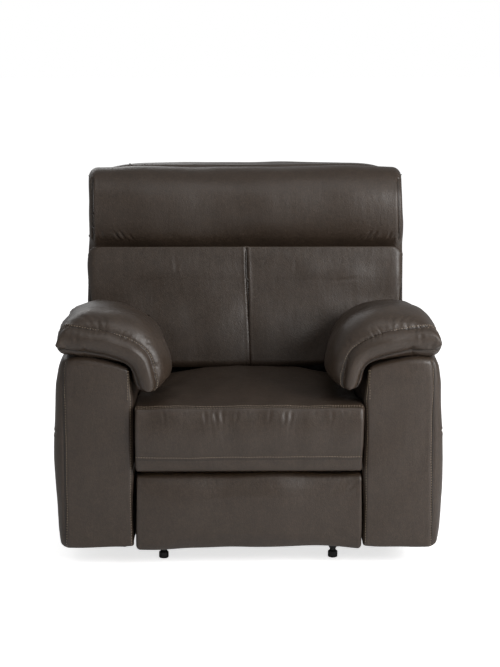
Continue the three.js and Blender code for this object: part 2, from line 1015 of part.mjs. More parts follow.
function makeFootrest() {
  const rest = link;
  const bar = (centres, place) =>
    plate(
      centres
        .filter((c) => c.hole)
        .reduce(
          (shape, c) => drill(shape, c.at, rivetBoreRadius),
          around(
            centres.map((c) => c.at),
            barHalf,
          ),
        ),
      place.inner,
      place.outer,
    );
  const pin = (at, from, to) => rodX(rivetRadius, from, to, at.x, at.y, 10);
  const solid = (at) => ({ at, hole: false });
  const bored = (at) => ({ at, hole: true });

  // The drive tube, with its first pair of bars and the lever that the actuator pushes.
  const plateOuter = plateInner + plateThick;
  const driveBar = join(
    bar([solid(rest.drive), solid(rest.cross1), solid(rest.far1)], layerB1),
    pin(rest.cross1, layerB1.outer - bite, layerA1.outer + gap),
    pin(rest.far1, layerB1.inner + bite, layerA2.inner - gap),
  );
  const leverAngle = -90 - footrestTurn / 2;
  const slotNear = leverDrop - leverSlotHalf - leverSpare;
  const slotFar = leverDrop / Math.cos(rad(footrestTurn / 2)) + leverSlotHalf + leverSpare;
  const leverTip = step(rest.drive, leverAngle, slotFar);
  const leverShape = around([rest.drive, leverTip], leverHalf);
  leverShape.holes.push(
    new THREE.Path(
      around(
        [
          step(rest.drive, leverAngle, slotNear + leverSlotHalf / 2),
          step(rest.drive, leverAngle, slotFar - leverSlotHalf / 2),
        ],
        leverSlotHalf,
        12,
      )
        .getPoints()
        .reverse(),
    ),
  );
  const lever = plate(
    leverShape,
    leverPlace - leverThick / 2,
    leverPlace + leverThick / 2,
  );
  const driveTube = join(
    rodX(driveRadius, -stubInner, stubInner, driveY, driveZ, 14),
    rodX(stubRadius, -plateOuter, plateOuter, driveY, driveZ, 12),
    driveBar,
    mirrored(driveBar),
    lever,
  );
  place(seat, "drive_tube", driveTube, steel);

  pair(
    seat,
    "link_a1",
    join(
      bar([solid(rest.tail), bored(rest.cross1), solid(rest.top1)], layerA1),
      pin(rest.tail, layerA1.outer - bite, plateOuter + running),
      pin(rest.top1, layerA1.inner + bite, layerB2.inner - gap),
    ),
    steel,
  );
  pair(
    seat,
    "link_a2",
    join(
      bar([bored(rest.far1), solid(rest.cross2), solid(rest.toe)], layerA2),
      pin(rest.cross2, layerA2.inner + bite, layerB2.inner - gap),
      pin(rest.toe, layerA2.inner + bite, layerFoot.inner - gap),
    ),
    steel,
  );
  pair(
    seat,
    "link_b2",
    join(
      bar([bored(rest.top1), bored(rest.cross2), solid(rest.control)], layerB2),
      pin(rest.control, layerB2.inner + bite, layerA3.inner - gap),
    ),
    steel,
  );
  pair(
    seat,
    "link_a3",
    join(
      bar([bored(rest.control), solid(rest.heel)], layerA3),
      pin(rest.heel, layerA3.inner + bite, layerFoot.inner - gap),
    ),
    steel,
  );

  const boardRear = rest.toe.x - boardBack;
  const bracketFace = boardRear + gap;
  const bracketOutline = around(
    [
      rest.toe,
      rest.heel,
      { x: bracketFace + rivetRadius, y: rest.toe.y, radius: rivetRadius },
      { x: bracketFace + rivetRadius, y: rest.heel.y, radius: rivetRadius },
    ],
    barHalf,
  );
  drill(drill(bracketOutline, rest.toe, rivetBoreRadius), rest.heel, rivetBoreRadius);
  const bracketFlange = box(
    layerFoot.outer - plateFlange,
    layerFoot.outer,
    bracketFace,
    bracketFace + bracketThick,
    rest.heel.y - barHalf,
    rest.toe.y + barHalf,
  );
  pair(
    seat,
    "footrest_bracket",
    join(plate(bracketOutline, layerFoot.inner, layerFoot.outer), bracketFlange),
    steel,
  );
  place(
    seat,
    "footrest_board",
    box(
      -boardHalf,
      boardHalf,
      boardRear - boardThick,
      boardRear,
      boardBottom,
      boardTop,
    ),
    wood,
  );
  makeFootPad(boardRear - boardThick - gap);
}

// The footrest's pad: shares of its thickness from the front, and of its height from the bottom.
function makeFootPad(padBack) {
  const footPadShares = [
    [1, 0.03],
    [0.6, 0],
    [0.28, 0.015],
    [0.08, 0.055],
    [0, 0.14],
    [-0.06, 0.35],
    [-0.08, 0.55],
    [-0.05, 0.75],
    [0.02, 0.88],
    [0.13, 0.95],
    [0.32, 0.99],
    [0.62, 1],
    [1, 0.96],
  ];
  const footPadEndShares = [
    [0, 1],
    [0.006, 0.5],
    [0.02, 0.15],
    [0.06, 0],
    [0.25, 0],
    [0.5, 0],
    [0.75, 0],
    [0.94, 0],
    [0.98, 0.15],
    [0.994, 0.5],
    [1, 1],
  ];
  const endThinShare = 0.3;
  const endLowShare = 0.045;
  const front = footPadFront + footPadCrown;
  const thick = padBack - front;
  const height = footPadTop - footPadBottom;
  const rings = stations(-footPadHalf, footPadHalf, footPadEndShares).map(
    ({ at, draw }) =>
      footPadShares.map(([thickShare, heightShare]) => {
        const narrowed = draw * endThinShare;
        const lower = draw * endLowShare * (0.5 - heightShare) * 2;
        return new THREE.Vector3(
          at,
          front + thick * (thickShare + (1 - thickShare) * narrowed),
          footPadBottom + height * (heightShare + lower),
        );
      }),
  );
  place(seat, "footrest_pad", loft(rings, ["y", "z"]), leather);
}

// A linear actuator lies along Y: a housing with a bored nose, a motor beside it and a rear eye.
function housing(x, z, nose, tail, inwards) {
  const way = Math.sign(tail - nose);
  const bore = nose + way * inwards;
  const body = rodAlong(housingRadius, nose, tail, x, z, 14);
  const motorEnd = tail - way * motorLength;
  const motor = rodAlong(motorRadius, motorEnd, tail, x + motorDrop, z, 14);
  const gearcase = box(
    x - housingRadius,
    x + motorDrop + motorRadius,
    tail,
    tail - way * motorRadius,
    z - motorRadius,
    z + motorRadius,
  );
  const hollow = rodAlong(rodBoreRadius, nose - way * overrun, bore, x, z, 12);
  return cut(join(body, motor, gearcase), hollow);
}

function rodAlong(radius, y0, y1, x, z, sides) {
  return new THREE.CylinderGeometry(radius, radius, Math.abs(y1 - y0), sides).translate(
    x,
    (y0 + y1) / 2,
    z,
  );
}

// Two cheeks that hold a cross pin on the end of a rod, or hold a housing to its lug.
function clevis(x, y, z, toward, thick) {
  const way = Math.sign(toward - y);
  const innerFace = thick / 2 + running;
  const cheeks = [-1, 1].map((side) =>
    plate(
      around([sidePoint(y, z), sidePoint(y + way * cheekReach(), z)], cheekHalf),
      x + side * innerFace,
      x + side * (innerFace + cheekThick),
    ),
  );
  const pin = rodX(
    rivetRadius,
    x - innerFace - cheekThick,
    x + innerFace + cheekThick,
    y,
    z,
    10,
  );
  const bridge = box(
    x - innerFace - cheekThick,
    x + innerFace + cheekThick,
    y + way * (cheekReach() + cheekHalf - cheekBridge),
    toward,
    z - cheekHalf,
    z + cheekHalf,
  );
  return [...cheeks, pin, bridge];
}

function cheekReach() {
  return leverHalf + cheekGap;
}

function makeActuators() {
  // Footrest: the rod pushes the lever's pin forwards as the drive tube turns.
  const footZ = footrestRodZ();
  const swing = leverDrop * Math.tan(rad(footrestTurn / 2));
  const pinRest = driveY + swing;
  const neck = pinRest + cheekReach() + cheekHalf;
  const footNose = neck + footGland;
  const footTail = rearTubeY - lugHalf - housingRear;
  const footRod = join(
    ...clevis(leverPlace, pinRest, footZ, neck, leverThick),
    rodAlong(rodRadius, neck - running, footNose + 2 * swing + rodInside, leverPlace, footZ, 12),
  );
  place(seat, "footrest_rod", footRod, zinc);
  place(
    seat,
    "footrest_actuator",
    mount(leverPlace, footZ, footNose, footTail, 2 * swing + rodInside + boreSpare, rearTubeY),
    plastic,
  );

  // Back: the rod draws the lever's pin forwards as the back goes down.
  const backZ = recliningZ();
  const draw = reclineLever * Math.tan(rad(reclineTurn / 2));
  const backPin = hingeY + draw;
  const backNeck = backPin - cheekReach() - cheekHalf;
  const backNose = backNeck - 2 * draw - backGland;
  const backTail = frontTubeY + lugHalf + housingRear;
  const backRod = join(
    ...clevis(recliningPlace, backPin, backZ, backNeck, leverThick),
    rodAlong(rodRadius, backNeck + running, backNose - rodInside, recliningPlace, backZ, 12),
  );
  place(seat, "recline_rod", backRod, zinc);
  place(
    seat,
    "recline_actuator",
    mount(recliningPlace, backZ, backNose, backTail, 2 * draw + rodInside + boreSpare, frontTubeY),
    plastic,
  );
}

// An actuator's housing, with the cheeks and the pin that hold it to its lug on a cross tube.
function mount(x, z, nose, tail, inwards, lugY) {
  const way = Math.sign(lugY - tail);
  const innerFace = lugThick / 2 + gap * 2;
  const cheeks = [-1, 1].map((side) =>
    box(
      x + side * innerFace,
      x + side * (innerFace + cheekThick),
      tail - way * running,
      lugY + way * cheekHalf,
      z - cheekHalf,
      z + cheekHalf,
    ),
  );
  const pinReach = innerFace + bite;
  const pin = rodX(rivetRadius, x - pinReach, x + pinReach, lugY, z, 10);
  return join(housing(x, z, nose, tail, inwards), ...cheeks, pin);
}

function makeBack() {
  // The back's own frame stands on the hinge: Y is its rearward normal N and Z runs up along it, T.
  const back = new THREE.Group();
  back.position.set(0, hingeY, hingeZ);
  back.rotation.x = -rad(leanDegrees);
  seat.add(back);
  const slope = Math.tan(rad(leanDegrees));
  const upright = 1 / Math.cos(rad(leanDegrees));
  // A level plane of the upright seat crosses the back at this height along it.
  const level = (z, n) => (z - hingeZ) * upright + n * slope;
  const at = (x, n, z) => new THREE.Vector3(x, n, level(z, n));

  makeBackFrame(back, level);
  makeBackCushion(back, at);
  makeBackShell(back, at);
  makeHeadrest(back);
}

function makeBackFrame(back, level) {
  const front = backRearN + gap;
  const rear = front + frameThick;
  const wing = level(wingBottomZ, front) + overrun;
  const outline = new THREE.Shape(
    [
      [-frameNarrow, frameBottom],
      [frameNarrow, frameBottom],
      [frameNarrow, wing],
      [frameWide, wing],
      [frameWide, frameTop - frameCorner],
      [frameWide - frameCorner, frameTop],
      [-frameWide + frameCorner, frameTop],
      [-frameWide, frameTop - frameCorner],
      [-frameWide, wing],
      [-frameNarrow, wing],
    ].map(([x, t]) => new THREE.Vector2(x, t)),
  );
  const board = new THREE.ExtrudeGeometry(outline, {
    depth: frameThick,
    bevelEnabled: false,
  })
    .rotateX(rad(90))
    .translate(0, rear, 0);
  place(back, "back_frame", board, wood);

  // The side brackets run down beside the frame to the back's pivots.
  const inner = frameNarrow + running;
  const outer = plateInner - running;
  const middle = (front + rear) / 2;
  const knee = { x: middle, y: frameBottom - bracketRadius };
  const foot = around([{ x: 0, y: 0, radius: bracketRadius }, knee], frameThick / 2);
  const upper = around([knee, { x: middle, y: bracketUp }], frameThick / 2);
  const bracket = join(
    plate(foot, inner, outer),
    plate(upper, inner, outer),
    rodX(rivetRadius, inner, plateInner + plateThick + gap, 0, 0, 10),
  );
  pair(back, "back_bracket", bracket, steel);

  // The lever hangs from the frame's lower edge, and its slot holds the rod's pin.
  const turned = (angle, length) =>
    new THREE.Vector2(
      length * Math.sin(rad(angle)),
      -length * Math.cos(rad(angle)),
    );
  const pinAngle = reclineTurn / 2 + leanDegrees;
  const far = reclineLever / Math.cos(rad(reclineTurn / 2));
  const tip = turned(pinAngle, far);
  const arm = around(
    [
      { x: tip.x, y: tip.y, radius: reclineHalf },
      { x: (front + rear) / 2, y: frameBottom - gap - frameThick / 2, radius: frameThick / 2 },
    ],
    reclineHalf,
  );
  const slot = around(
    [turned(pinAngle, far + running), turned(pinAngle, reclineLever - running)],
    reclineSlotHalf,
    10,
  );
  arm.holes.push(new THREE.Path(slot.getPoints().reverse()));
  const leverPlate = plate(
    arm,
    recliningPlace - leverThick / 2,
    recliningPlace + leverThick / 2,
  );
  const flange = box(
    recliningPlace - reclineFlangeHalf,
    recliningPlace + reclineFlangeHalf,
    front,
    rear,
    frameBottom - gap - plateThick,
    frameBottom - gap,
  );
  place(back, "recline_lever", join(leverPlate, flange), steel);
}

function makeBackCushion(back, at) {
  // Rows: the height share between the bottom and the top, the half width, and how far it draws in
  // at the front and at the sides.
  const wingShare = (wingBottomZ - backBottomZ) / (backTopZ - backBottomZ);
  const edgeShare = 0.001;
  const cushionRowShares = [
    [0, backNarrow, 1, 0.07],
    [0.02, backNarrow, 0.5, 0.03],
    [0.07, backNarrow, 0.15, 0],
    [0.2, backNarrow, 0, 0],
    [0.35, backNarrow, 0, 0],
    [wingShare - edgeShare, backNarrow, 0, 0],
    [wingShare, backWide, 0.1, 0.05],
    [wingShare + 0.025, backWide, 0, 0.015],
    [wingShare + 0.08, backWide, 0, 0],
    [0.65, backWide, 0, 0],
    [0.78, backWide, 0, 0.004],
    [0.89, backWide, 0.03, 0.012],
    [0.95, backWide, 0.12, 0.02],
    [1, backWide, 0.2, 0.03],
  ];
  // Across the front: the place between the sides, and how full the crown is there.
  const crownShares = [
    [-1, 0],
    [-0.985, 0.35],
    [-0.93, 0.68],
    [-0.78, 0.93],
    [-0.5, 1],
    [-0.22, 0.93],
    [-0.07, 0.68],
    [-0.018, 0.35],
    [0, 0],
    [0.018, 0.35],
    [0.07, 0.68],
    [0.22, 0.93],
    [0.5, 1],
    [0.78, 0.93],
    [0.93, 0.68],
    [0.985, 0.35],
    [1, 0],
  ];
  const swellShare = 0.3;
  const swellTopShare = 0.8;
  const endDropShare = 1.4;
  const weltSinkShare = 0.4;
  const sideBulgeShare = 0.25;
  const rings = cushionRowShares.map(([heightShare, half, draw, narrow]) => {
    const z = backBottomZ + (backTopZ - backBottomZ) * heightShare;
    const w = half * (1 - narrow);
    const swollen = Math.sin(Math.PI * Math.min(heightShare / swellTopShare, 1));
    const swell = 1 - swellShare + swellShare * swollen;
    const front = crownShares.map(([xShare, fullShare]) => {
      const welt = xShare === 0 ? weltDepth : 0;
      const crown = (backCrown + weltDepth) * fullShare * swell * (1 - draw);
      const sunk = draw * backCrown * endDropShare + welt * weltSinkShare;
      const n = backFrontN + weltDepth + sunk - crown;
      return at(xShare * w, n, z);
    });
    const sideN = (backFrontN + backRearN) / 2;
    return [
      ...front,
      at(w + backCrown * sideBulgeShare * (1 - draw), sideN, z),
      at(w, backRearN, z),
      at(-w, backRearN, z),
      at(-w - backCrown * sideBulgeShare * (1 - draw), sideN, z),
    ];
  });
  const cushion = loft(rings, ["x", "y"]);
  // The headrest turns in a round hollow in the cushion's top.
  const hollow = rodX(
    headArcRadius + running,
    -backWide - 2 * overrun,
    backWide + 2 * overrun,
    headPivotN,
    headPivotT,
    40,
  );
  place(back, "back_cushion", cut(cushion, hollow), leather);
}

function makeBackShell(back, at) {
  // Rows: the shares of the height and the half width, then the front face's and the rear face's
  // shares of the depth.
  const all = shellTopZ - shellFlapZ;
  const stepShare = (shellStepZ - shellFlapZ) / all;
  const wingShare = (wingBottomZ - shellFlapZ) / all;
  const flapShare = (shellFlapN - shellFrontN) / (shellDepth - shellFrontN);
  const narrowShare = backNarrow / shellWide;
  const flapWidthShare = narrowShare * 0.9;
  const edgeShare = 0.001;
  const shellShares = [
    [0, flapWidthShare, flapShare, 0.72],
    [0.01, flapWidthShare, flapShare, 0.75],
    [stepShare, flapWidthShare, flapShare, 0.82],
    [stepShare + edgeShare, narrowShare, 0, 0.83],
    [0.3, narrowShare, 0, 0.89],
    [wingShare - edgeShare, narrowShare, 0, 0.97],
    [wingShare, 0.955, 0, 0.94],
    [wingShare + 0.012, 0.985, 0, 0.97],
    [wingShare + 0.05, 1, 0, 0.99],
    [0.7, 1, 0, 1],
    [0.82, 0.998, 0, 0.98],
    [0.9, 0.99, 0, 0.93],
    [0.94, 0.975, 0, 0.87],
    [0.968, 0.95, 0, 0.78],
    [0.988, 0.905, 0.03, 0.66],
    [1, 0.85, 0.1, 0.5],
  ];
  const roundShares = [
    [1, 0],
    [1, 0.35],
    [0.995, 0.65],
    [0.975, 0.86],
    [0.93, 0.96],
    [0.8, 0.99],
    [0.4, 1],
    [-0.4, 1],
    [-0.8, 0.99],
    [-0.93, 0.96],
    [-0.975, 0.86],
    [-0.995, 0.65],
    [-1, 0.35],
    [-1, 0],
  ];
  const depth = shellDepth - shellFrontN;
  const rings = shellShares.map(([heightShare, widthShare, nearShare, farShare]) => {
    const z = shellFlapZ + all * heightShare;
    const near = shellFrontN + depth * nearShare;
    const far = shellFrontN + depth * farShare;
    return roundShares.map(([xShare, nShare]) =>
      at(shellWide * widthShare * xShare, near + (far - near) * nShare, z),
    );
  });
  place(back, "back_shell", loft(rings, ["x", "y"]), leather);
}

function makeHeadrest(back) {
  const pivot = new THREE.Vector2(headPivotN, headPivotT);
  const polar = (degrees, radius) => [
    pivot.x - radius * Math.cos(rad(degrees)),
    pivot.y + radius * Math.sin(rad(degrees)),
  ];
  // The lower part is a sector about the pivot, short of straight down by the tilt.
  const lowest = headTilt - 90;
  const mouth = -26.6;
  const arcShares = [0, 0.25, 0.5, 0.75, 1];
  const arc = arcShares.map((s) => polar(lowest + (mouth - lowest) * s, headArcRadius));
  const front = [
    polar(-12, headArcRadius),
    polar(headTilt + mouth, headArcRadius),
  ];
  const bulge = headFrontN - headBackN;
  const rise = headTopT - headPivotT;
  const bulgeShares = [
    [0.88, 0.17],
    [0.965, 0.32],
    [1, 0.52],
    [0.97, 0.7],
    [0.86, 0.85],
    [0.66, 0.95],
    [0.38, 1],
    [0.12, 0.995],
    [0, 0.96],
  ].map(([bulgeShare, riseShare]) => [
    headBackN + bulge * bulgeShare,
    headPivotT + rise * riseShare,
  ]);
  const rear = [
    [headBackN, headPivotT + headSeat],
    polar(45, headRingRadius),
    polar(0, headRingRadius),
    polar(lowest, headRingRadius),
  ];
  const profile = [...arc, ...front, ...bulgeShares, ...rear];
  const headEndShares = [
    [0, 1],
    [0.004, 0.62],
    [0.012, 0.3],
    [0.03, 0.08],
    [0.08, 0],
    [0.3, 0],
    [0.5, 0],
    [0.7, 0],
    [0.92, 0],
    [0.97, 0.08],
    [0.988, 0.3],
    [0.996, 0.62],
    [1, 1],
  ];
  const endShrinkShare = 0.16;
  const middle = [headBackN + bulge / 2, headPivotT + rise / 2];
  const rings = stations(-headHalf, headHalf, headEndShares).map(({ at, draw }) =>
    profile.map(([n, t], i) => {
      const held = i >= profile.length - rear.length ? 0 : 1;
      const shrink = draw * endShrinkShare * held;
      return new THREE.Vector3(
        at,
        n + (middle[0] - n) * shrink,
        t + (middle[1] - t) * shrink,
      );
    }),
  );
  const head = new THREE.Group();
  back.add(head);
  place(head, "head_cushion", loft(rings, ["y", "z"]), leather);

  const headLugPlace = frameWide - headLugInset;
  const headPlateHalf = headLugPlace + headPlateReach;
  const rearFace = backRearN - gap;
  const frontFace = headBackN + gap;
  const plateBottom = headPivotT + headRingRadius;
  const board = box(
    -headPlateHalf,
    headPlateHalf,
    frontFace,
    rearFace,
    plateBottom,
    headPlateTop,
  );
  const lugs = [-1, 1].map((side) => {
    const outline = around(
      [
        { x: headPivotN, y: headPivotT, radius: headLugRadius },
        { x: (frontFace + rearFace) / 2, y: plateBottom + headPlate, radius: headPlate / 2 },
      ],
      headLugRadius,
    );
    drill(outline, pivot, rivetBoreRadius);
    return plate(outline, side * headLugPlace, side * (headLugPlace + headLugThick));
  });
  place(head, "headrest_frame", join(board, ...lugs), steel);

  // Each hinge bracket stands on the back's frame beside a lug, and its pin goes through it.
  const start = headLugPlace + headLugThick + running;
  const end = start + headLugThick;
  const base = backRearN - gap;
  const shoulder = around(
    [
      { x: headPivotN, y: headPivotT, radius: headLugRadius - running },
      { x: base - headLugRadius / 3, y: headPivotT + running, radius: headLugRadius / 3 },
      { x: base - headLugRadius / 3, y: headPivotT - headLugRadius * 2, radius: headLugRadius / 3 },
    ],
    headLugRadius,
  );
  const hinge = join(
    plate(shoulder, start, end),
    rodX(rivetRadius, headLugPlace - gap, end, headPivotN, headPivotT, 10),
    box(
      start,
      end + headLugRadius * 2,
      base - headLugRadius / 3,
      base,
      headPivotT - headLugRadius * 2,
      headPivotT - headLugRadius / 2,
    ),
  );
  pair(back, "headrest_hinge", hinge, steel);
}

function makeSwitches() {
  const inner = bezelFace - bezelDepth;
  const bezel = box(
    -bezelFace,
    -inner,
    bezelY - bezelLength / 2,
    bezelY + bezelLength / 2,
    bezelZ - bezelHeight / 2,
    bezelZ + bezelHeight / 2,
  );
  const floor = bezelFace + buttonProud - buttonDepth - buttonTravel - gap;
  const centres = Array.from(
    { length: buttonCount },
    (_, i) => bezelY + (i - (buttonCount - 1) / 2) * buttonPitch,
  );
  const pockets = centres.map((y) =>
    rodX(buttonRadius + gap * 2, -bezelFace - overrun, -floor, y, bezelZ, 12),
  );
  place(seat, "switch_bezel", cut(bezel, ...pockets), plastic);
  const names = ["footrest_out", "footrest_in", "back_down", "back_up"];
  centres.forEach((y, i) => {
    const face = bezelFace + buttonProud;
    const button = rodX(buttonRadius, -face, -face + buttonDepth, y, bezelZ, 12);
    place(seat, `button_${names[i]}`, button, plastic);
  });
}
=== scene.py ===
"""A powered cinema recliner seat: its leather, seams, stitching and fittings, built over its frame."""
import json
import math

import bpy
import numpy as np
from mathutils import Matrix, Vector
from mathutils.bvhtree import BVHTree
from mathutils.kdtree import KDTree


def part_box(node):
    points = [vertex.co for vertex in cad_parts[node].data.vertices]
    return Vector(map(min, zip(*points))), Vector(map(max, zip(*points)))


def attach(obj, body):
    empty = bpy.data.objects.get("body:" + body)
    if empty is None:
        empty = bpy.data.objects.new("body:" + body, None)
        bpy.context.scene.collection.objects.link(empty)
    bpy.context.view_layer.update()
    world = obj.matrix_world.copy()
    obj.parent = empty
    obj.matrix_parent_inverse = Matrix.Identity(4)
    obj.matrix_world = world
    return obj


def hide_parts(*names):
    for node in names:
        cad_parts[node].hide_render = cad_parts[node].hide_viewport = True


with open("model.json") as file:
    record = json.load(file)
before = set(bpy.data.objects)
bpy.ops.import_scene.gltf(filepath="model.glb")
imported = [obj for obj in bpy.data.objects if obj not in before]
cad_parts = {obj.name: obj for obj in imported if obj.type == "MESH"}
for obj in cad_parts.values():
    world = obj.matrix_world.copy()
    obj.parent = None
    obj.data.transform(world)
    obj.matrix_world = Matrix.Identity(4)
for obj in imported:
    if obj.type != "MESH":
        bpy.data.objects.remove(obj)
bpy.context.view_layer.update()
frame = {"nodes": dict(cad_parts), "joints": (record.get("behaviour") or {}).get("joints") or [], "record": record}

bl_info = {
    "name": "Cinema Recliner Seat",
    "version": (1, 0, 0),
    "blender": (4, 5, 0),
    "location": "View3D > Sidebar > Recliner",
    "description": "Builds the leather, seams and fittings of a cinema recliner seat",
    "category": "Add Mesh",
}

MM = 0.001
PATH_STEP = 3 * MM
WELT_ENDS_SUNK = 4.5 * MM
SIDES = {"right": 1, "left": -1}


def linear(hex_color):
    """An sRGB hex colour as linear red, green and blue."""
    parts = [int(hex_color[i:i + 2], 16) / 255 for i in (1, 3, 5)]
    return tuple(p / 12.92 if p <= 0.04045 else ((p + 0.055) / 1.055) ** 2.4 for p in parts)


def joint_place(name):
    """Where a joint of the frame turns."""
    return Vector(next(j for j in frame["joints"] if j["name"] == name)["pos_m"])


HINGE = joint_place("back_recline")
ROLL = joint_place("headrest_tilt")
LEAN = math.radians(13)


# Settings

class LeatherSettings(bpy.types.PropertyGroup):
    """The upholstery leather."""
    color: bpy.props.FloatVectorProperty(
        name="Leather", description="Colour of the dyed leather", subtype="COLOR", size=3,
        min=0, max=1, default=linear("#382d24"))
    thread: bpy.props.FloatVectorProperty(
        name="Thread", description="Colour of the seam thread", subtype="COLOR", size=3,
        min=0, max=1, default=linear("#a5937d"))
    roughness: bpy.props.FloatProperty(
        name="Roughness", description="Roughness of the leather's top coat", subtype="FACTOR",
        min=0, max=1, default=0.43)
    grain: bpy.props.FloatProperty(
        name="Grain", description="Width of one pebble of the grain", unit="LENGTH",
        default=3.2 * MM)
    crease: bpy.props.FloatProperty(
        name="Creases", description="Width of the fields between fine creases", unit="LENGTH",
        default=15 * MM)


class SeamSettings(bpy.types.PropertyGroup):
    """The seams, stitches and welts."""
    pitch: bpy.props.FloatProperty(
        name="Stitch pitch", description="Distance from one stitch to the next", unit="LENGTH",
        default=7.2 * MM)
    length: bpy.props.FloatProperty(
        name="Stitch length", description="Length of a stitch", unit="LENGTH", default=4.0 * MM)
    thread: bpy.props.FloatProperty(
        name="Thread thickness", description="Thickness of the thread", unit="LENGTH",
        default=1.3 * MM)
    offset: bpy.props.FloatProperty(
        name="Topstitch offset", description="Distance of a topstitch from its seam",
        unit="LENGTH", default=5 * MM)
    welt: bpy.props.FloatProperty(
        name="Welt", description="Radius of the leather welts", unit="LENGTH", default=2.1 * MM)
    depth: bpy.props.FloatProperty(
        name="Seam depth", description="How deep a seam pulls the leather in", unit="LENGTH",
        default=3.2 * MM)
    width: bpy.props.FloatProperty(
        name="Seam width", description="Half width of the groove at a seam", unit="LENGTH",
        default=4.5 * MM)


class StageSettings(bpy.types.PropertyGroup):
    """The camera, the floor and the light."""
    distance: bpy.props.FloatProperty(
        name="Camera distance", description="From the arms' front to the camera", unit="LENGTH",
        default=4.8)
    height: bpy.props.FloatProperty(
        name="Camera height", description="Height of the camera", unit="LENGTH", default=1.535)
    pitch: bpy.props.FloatProperty(
        name="Camera pitch", description="How far the camera looks down", subtype="ANGLE",
        default=math.radians(10.43))
    lens: bpy.props.FloatProperty(
        name="Lens", description="Focal length on a 36 mm long side", unit="CAMERA",
        default=98.8)
    side: bpy.props.FloatProperty(
        name="Camera offset", description="How far the camera stands to one side",
        unit="LENGTH", default=-0.075)
    aim: bpy.props.FloatProperty(
        name="Aim offset", description="How far beside the seat's middle the camera looks",
        unit="LENGTH", default=3 * MM)
    floor: bpy.props.FloatVectorProperty(
        name="Floor", description="Colour of the floor and the backdrop", subtype="COLOR",
        size=3, min=0, max=1, default=linear("#ffffff"))
    key: bpy.props.FloatProperty(
        name="Key light", description="Power of the large lamp on the right", unit="POWER",
        default=92)
    top: bpy.props.FloatProperty(
        name="Top light", description="Power of the lamp above", unit="POWER", default=11)
    rear: bpy.props.FloatProperty(
        name="Rear light", description="Power of the soft lamp behind", unit="POWER", default=26)
    sky: bpy.props.FloatProperty(
        name="Room light", description="Brightness of the white room", min=0, default=0.35)


# Node trees and materials

def node(tree, kind, settings=None, **inputs):
    """Adds a node with its settings, and sets its inputs or links them to other nodes' sockets."""
    made = tree.nodes.new(kind)
    for name, value in (settings or {}).items():
        setattr(made, name, value)
    for name, value in inputs.items():
        socket = made.inputs[int(name[1:]) if name[0] == "_" else name.replace("_", " ")]
        if isinstance(value, bpy.types.NodeSocket):
            tree.links.new(value, socket)
        else:
            socket.default_value = value
    return made


def ramp(tree, factor, stops):
    """A colour ramp over a factor; its stops are pairs of place and linear colour."""
    made = node(tree, "ShaderNodeValToRGB", Fac=factor)
    elements = made.color_ramp.elements
    while len(elements) < len(stops):
        elements.new(0.5)
    for element, (place, color) in zip(elements, stops):
        element.position = place
        element.color = (*color, 1)
    return made.outputs["Color"]


def new_material(name):
    """An empty node material, with its tree and the object's own coordinates."""
    material = bpy.data.materials.new(name)
    material.use_nodes = True
    tree = material.node_tree
    tree.nodes.clear()
    place = node(tree, "ShaderNodeTexCoord").outputs["Object"]
    return material, tree, place


def close(tree, surface):
    node(tree, "ShaderNodeOutputMaterial", Surface=surface.outputs[0])


def shade(color, factor):
    return tuple(min(c * factor, 1) for c in color)


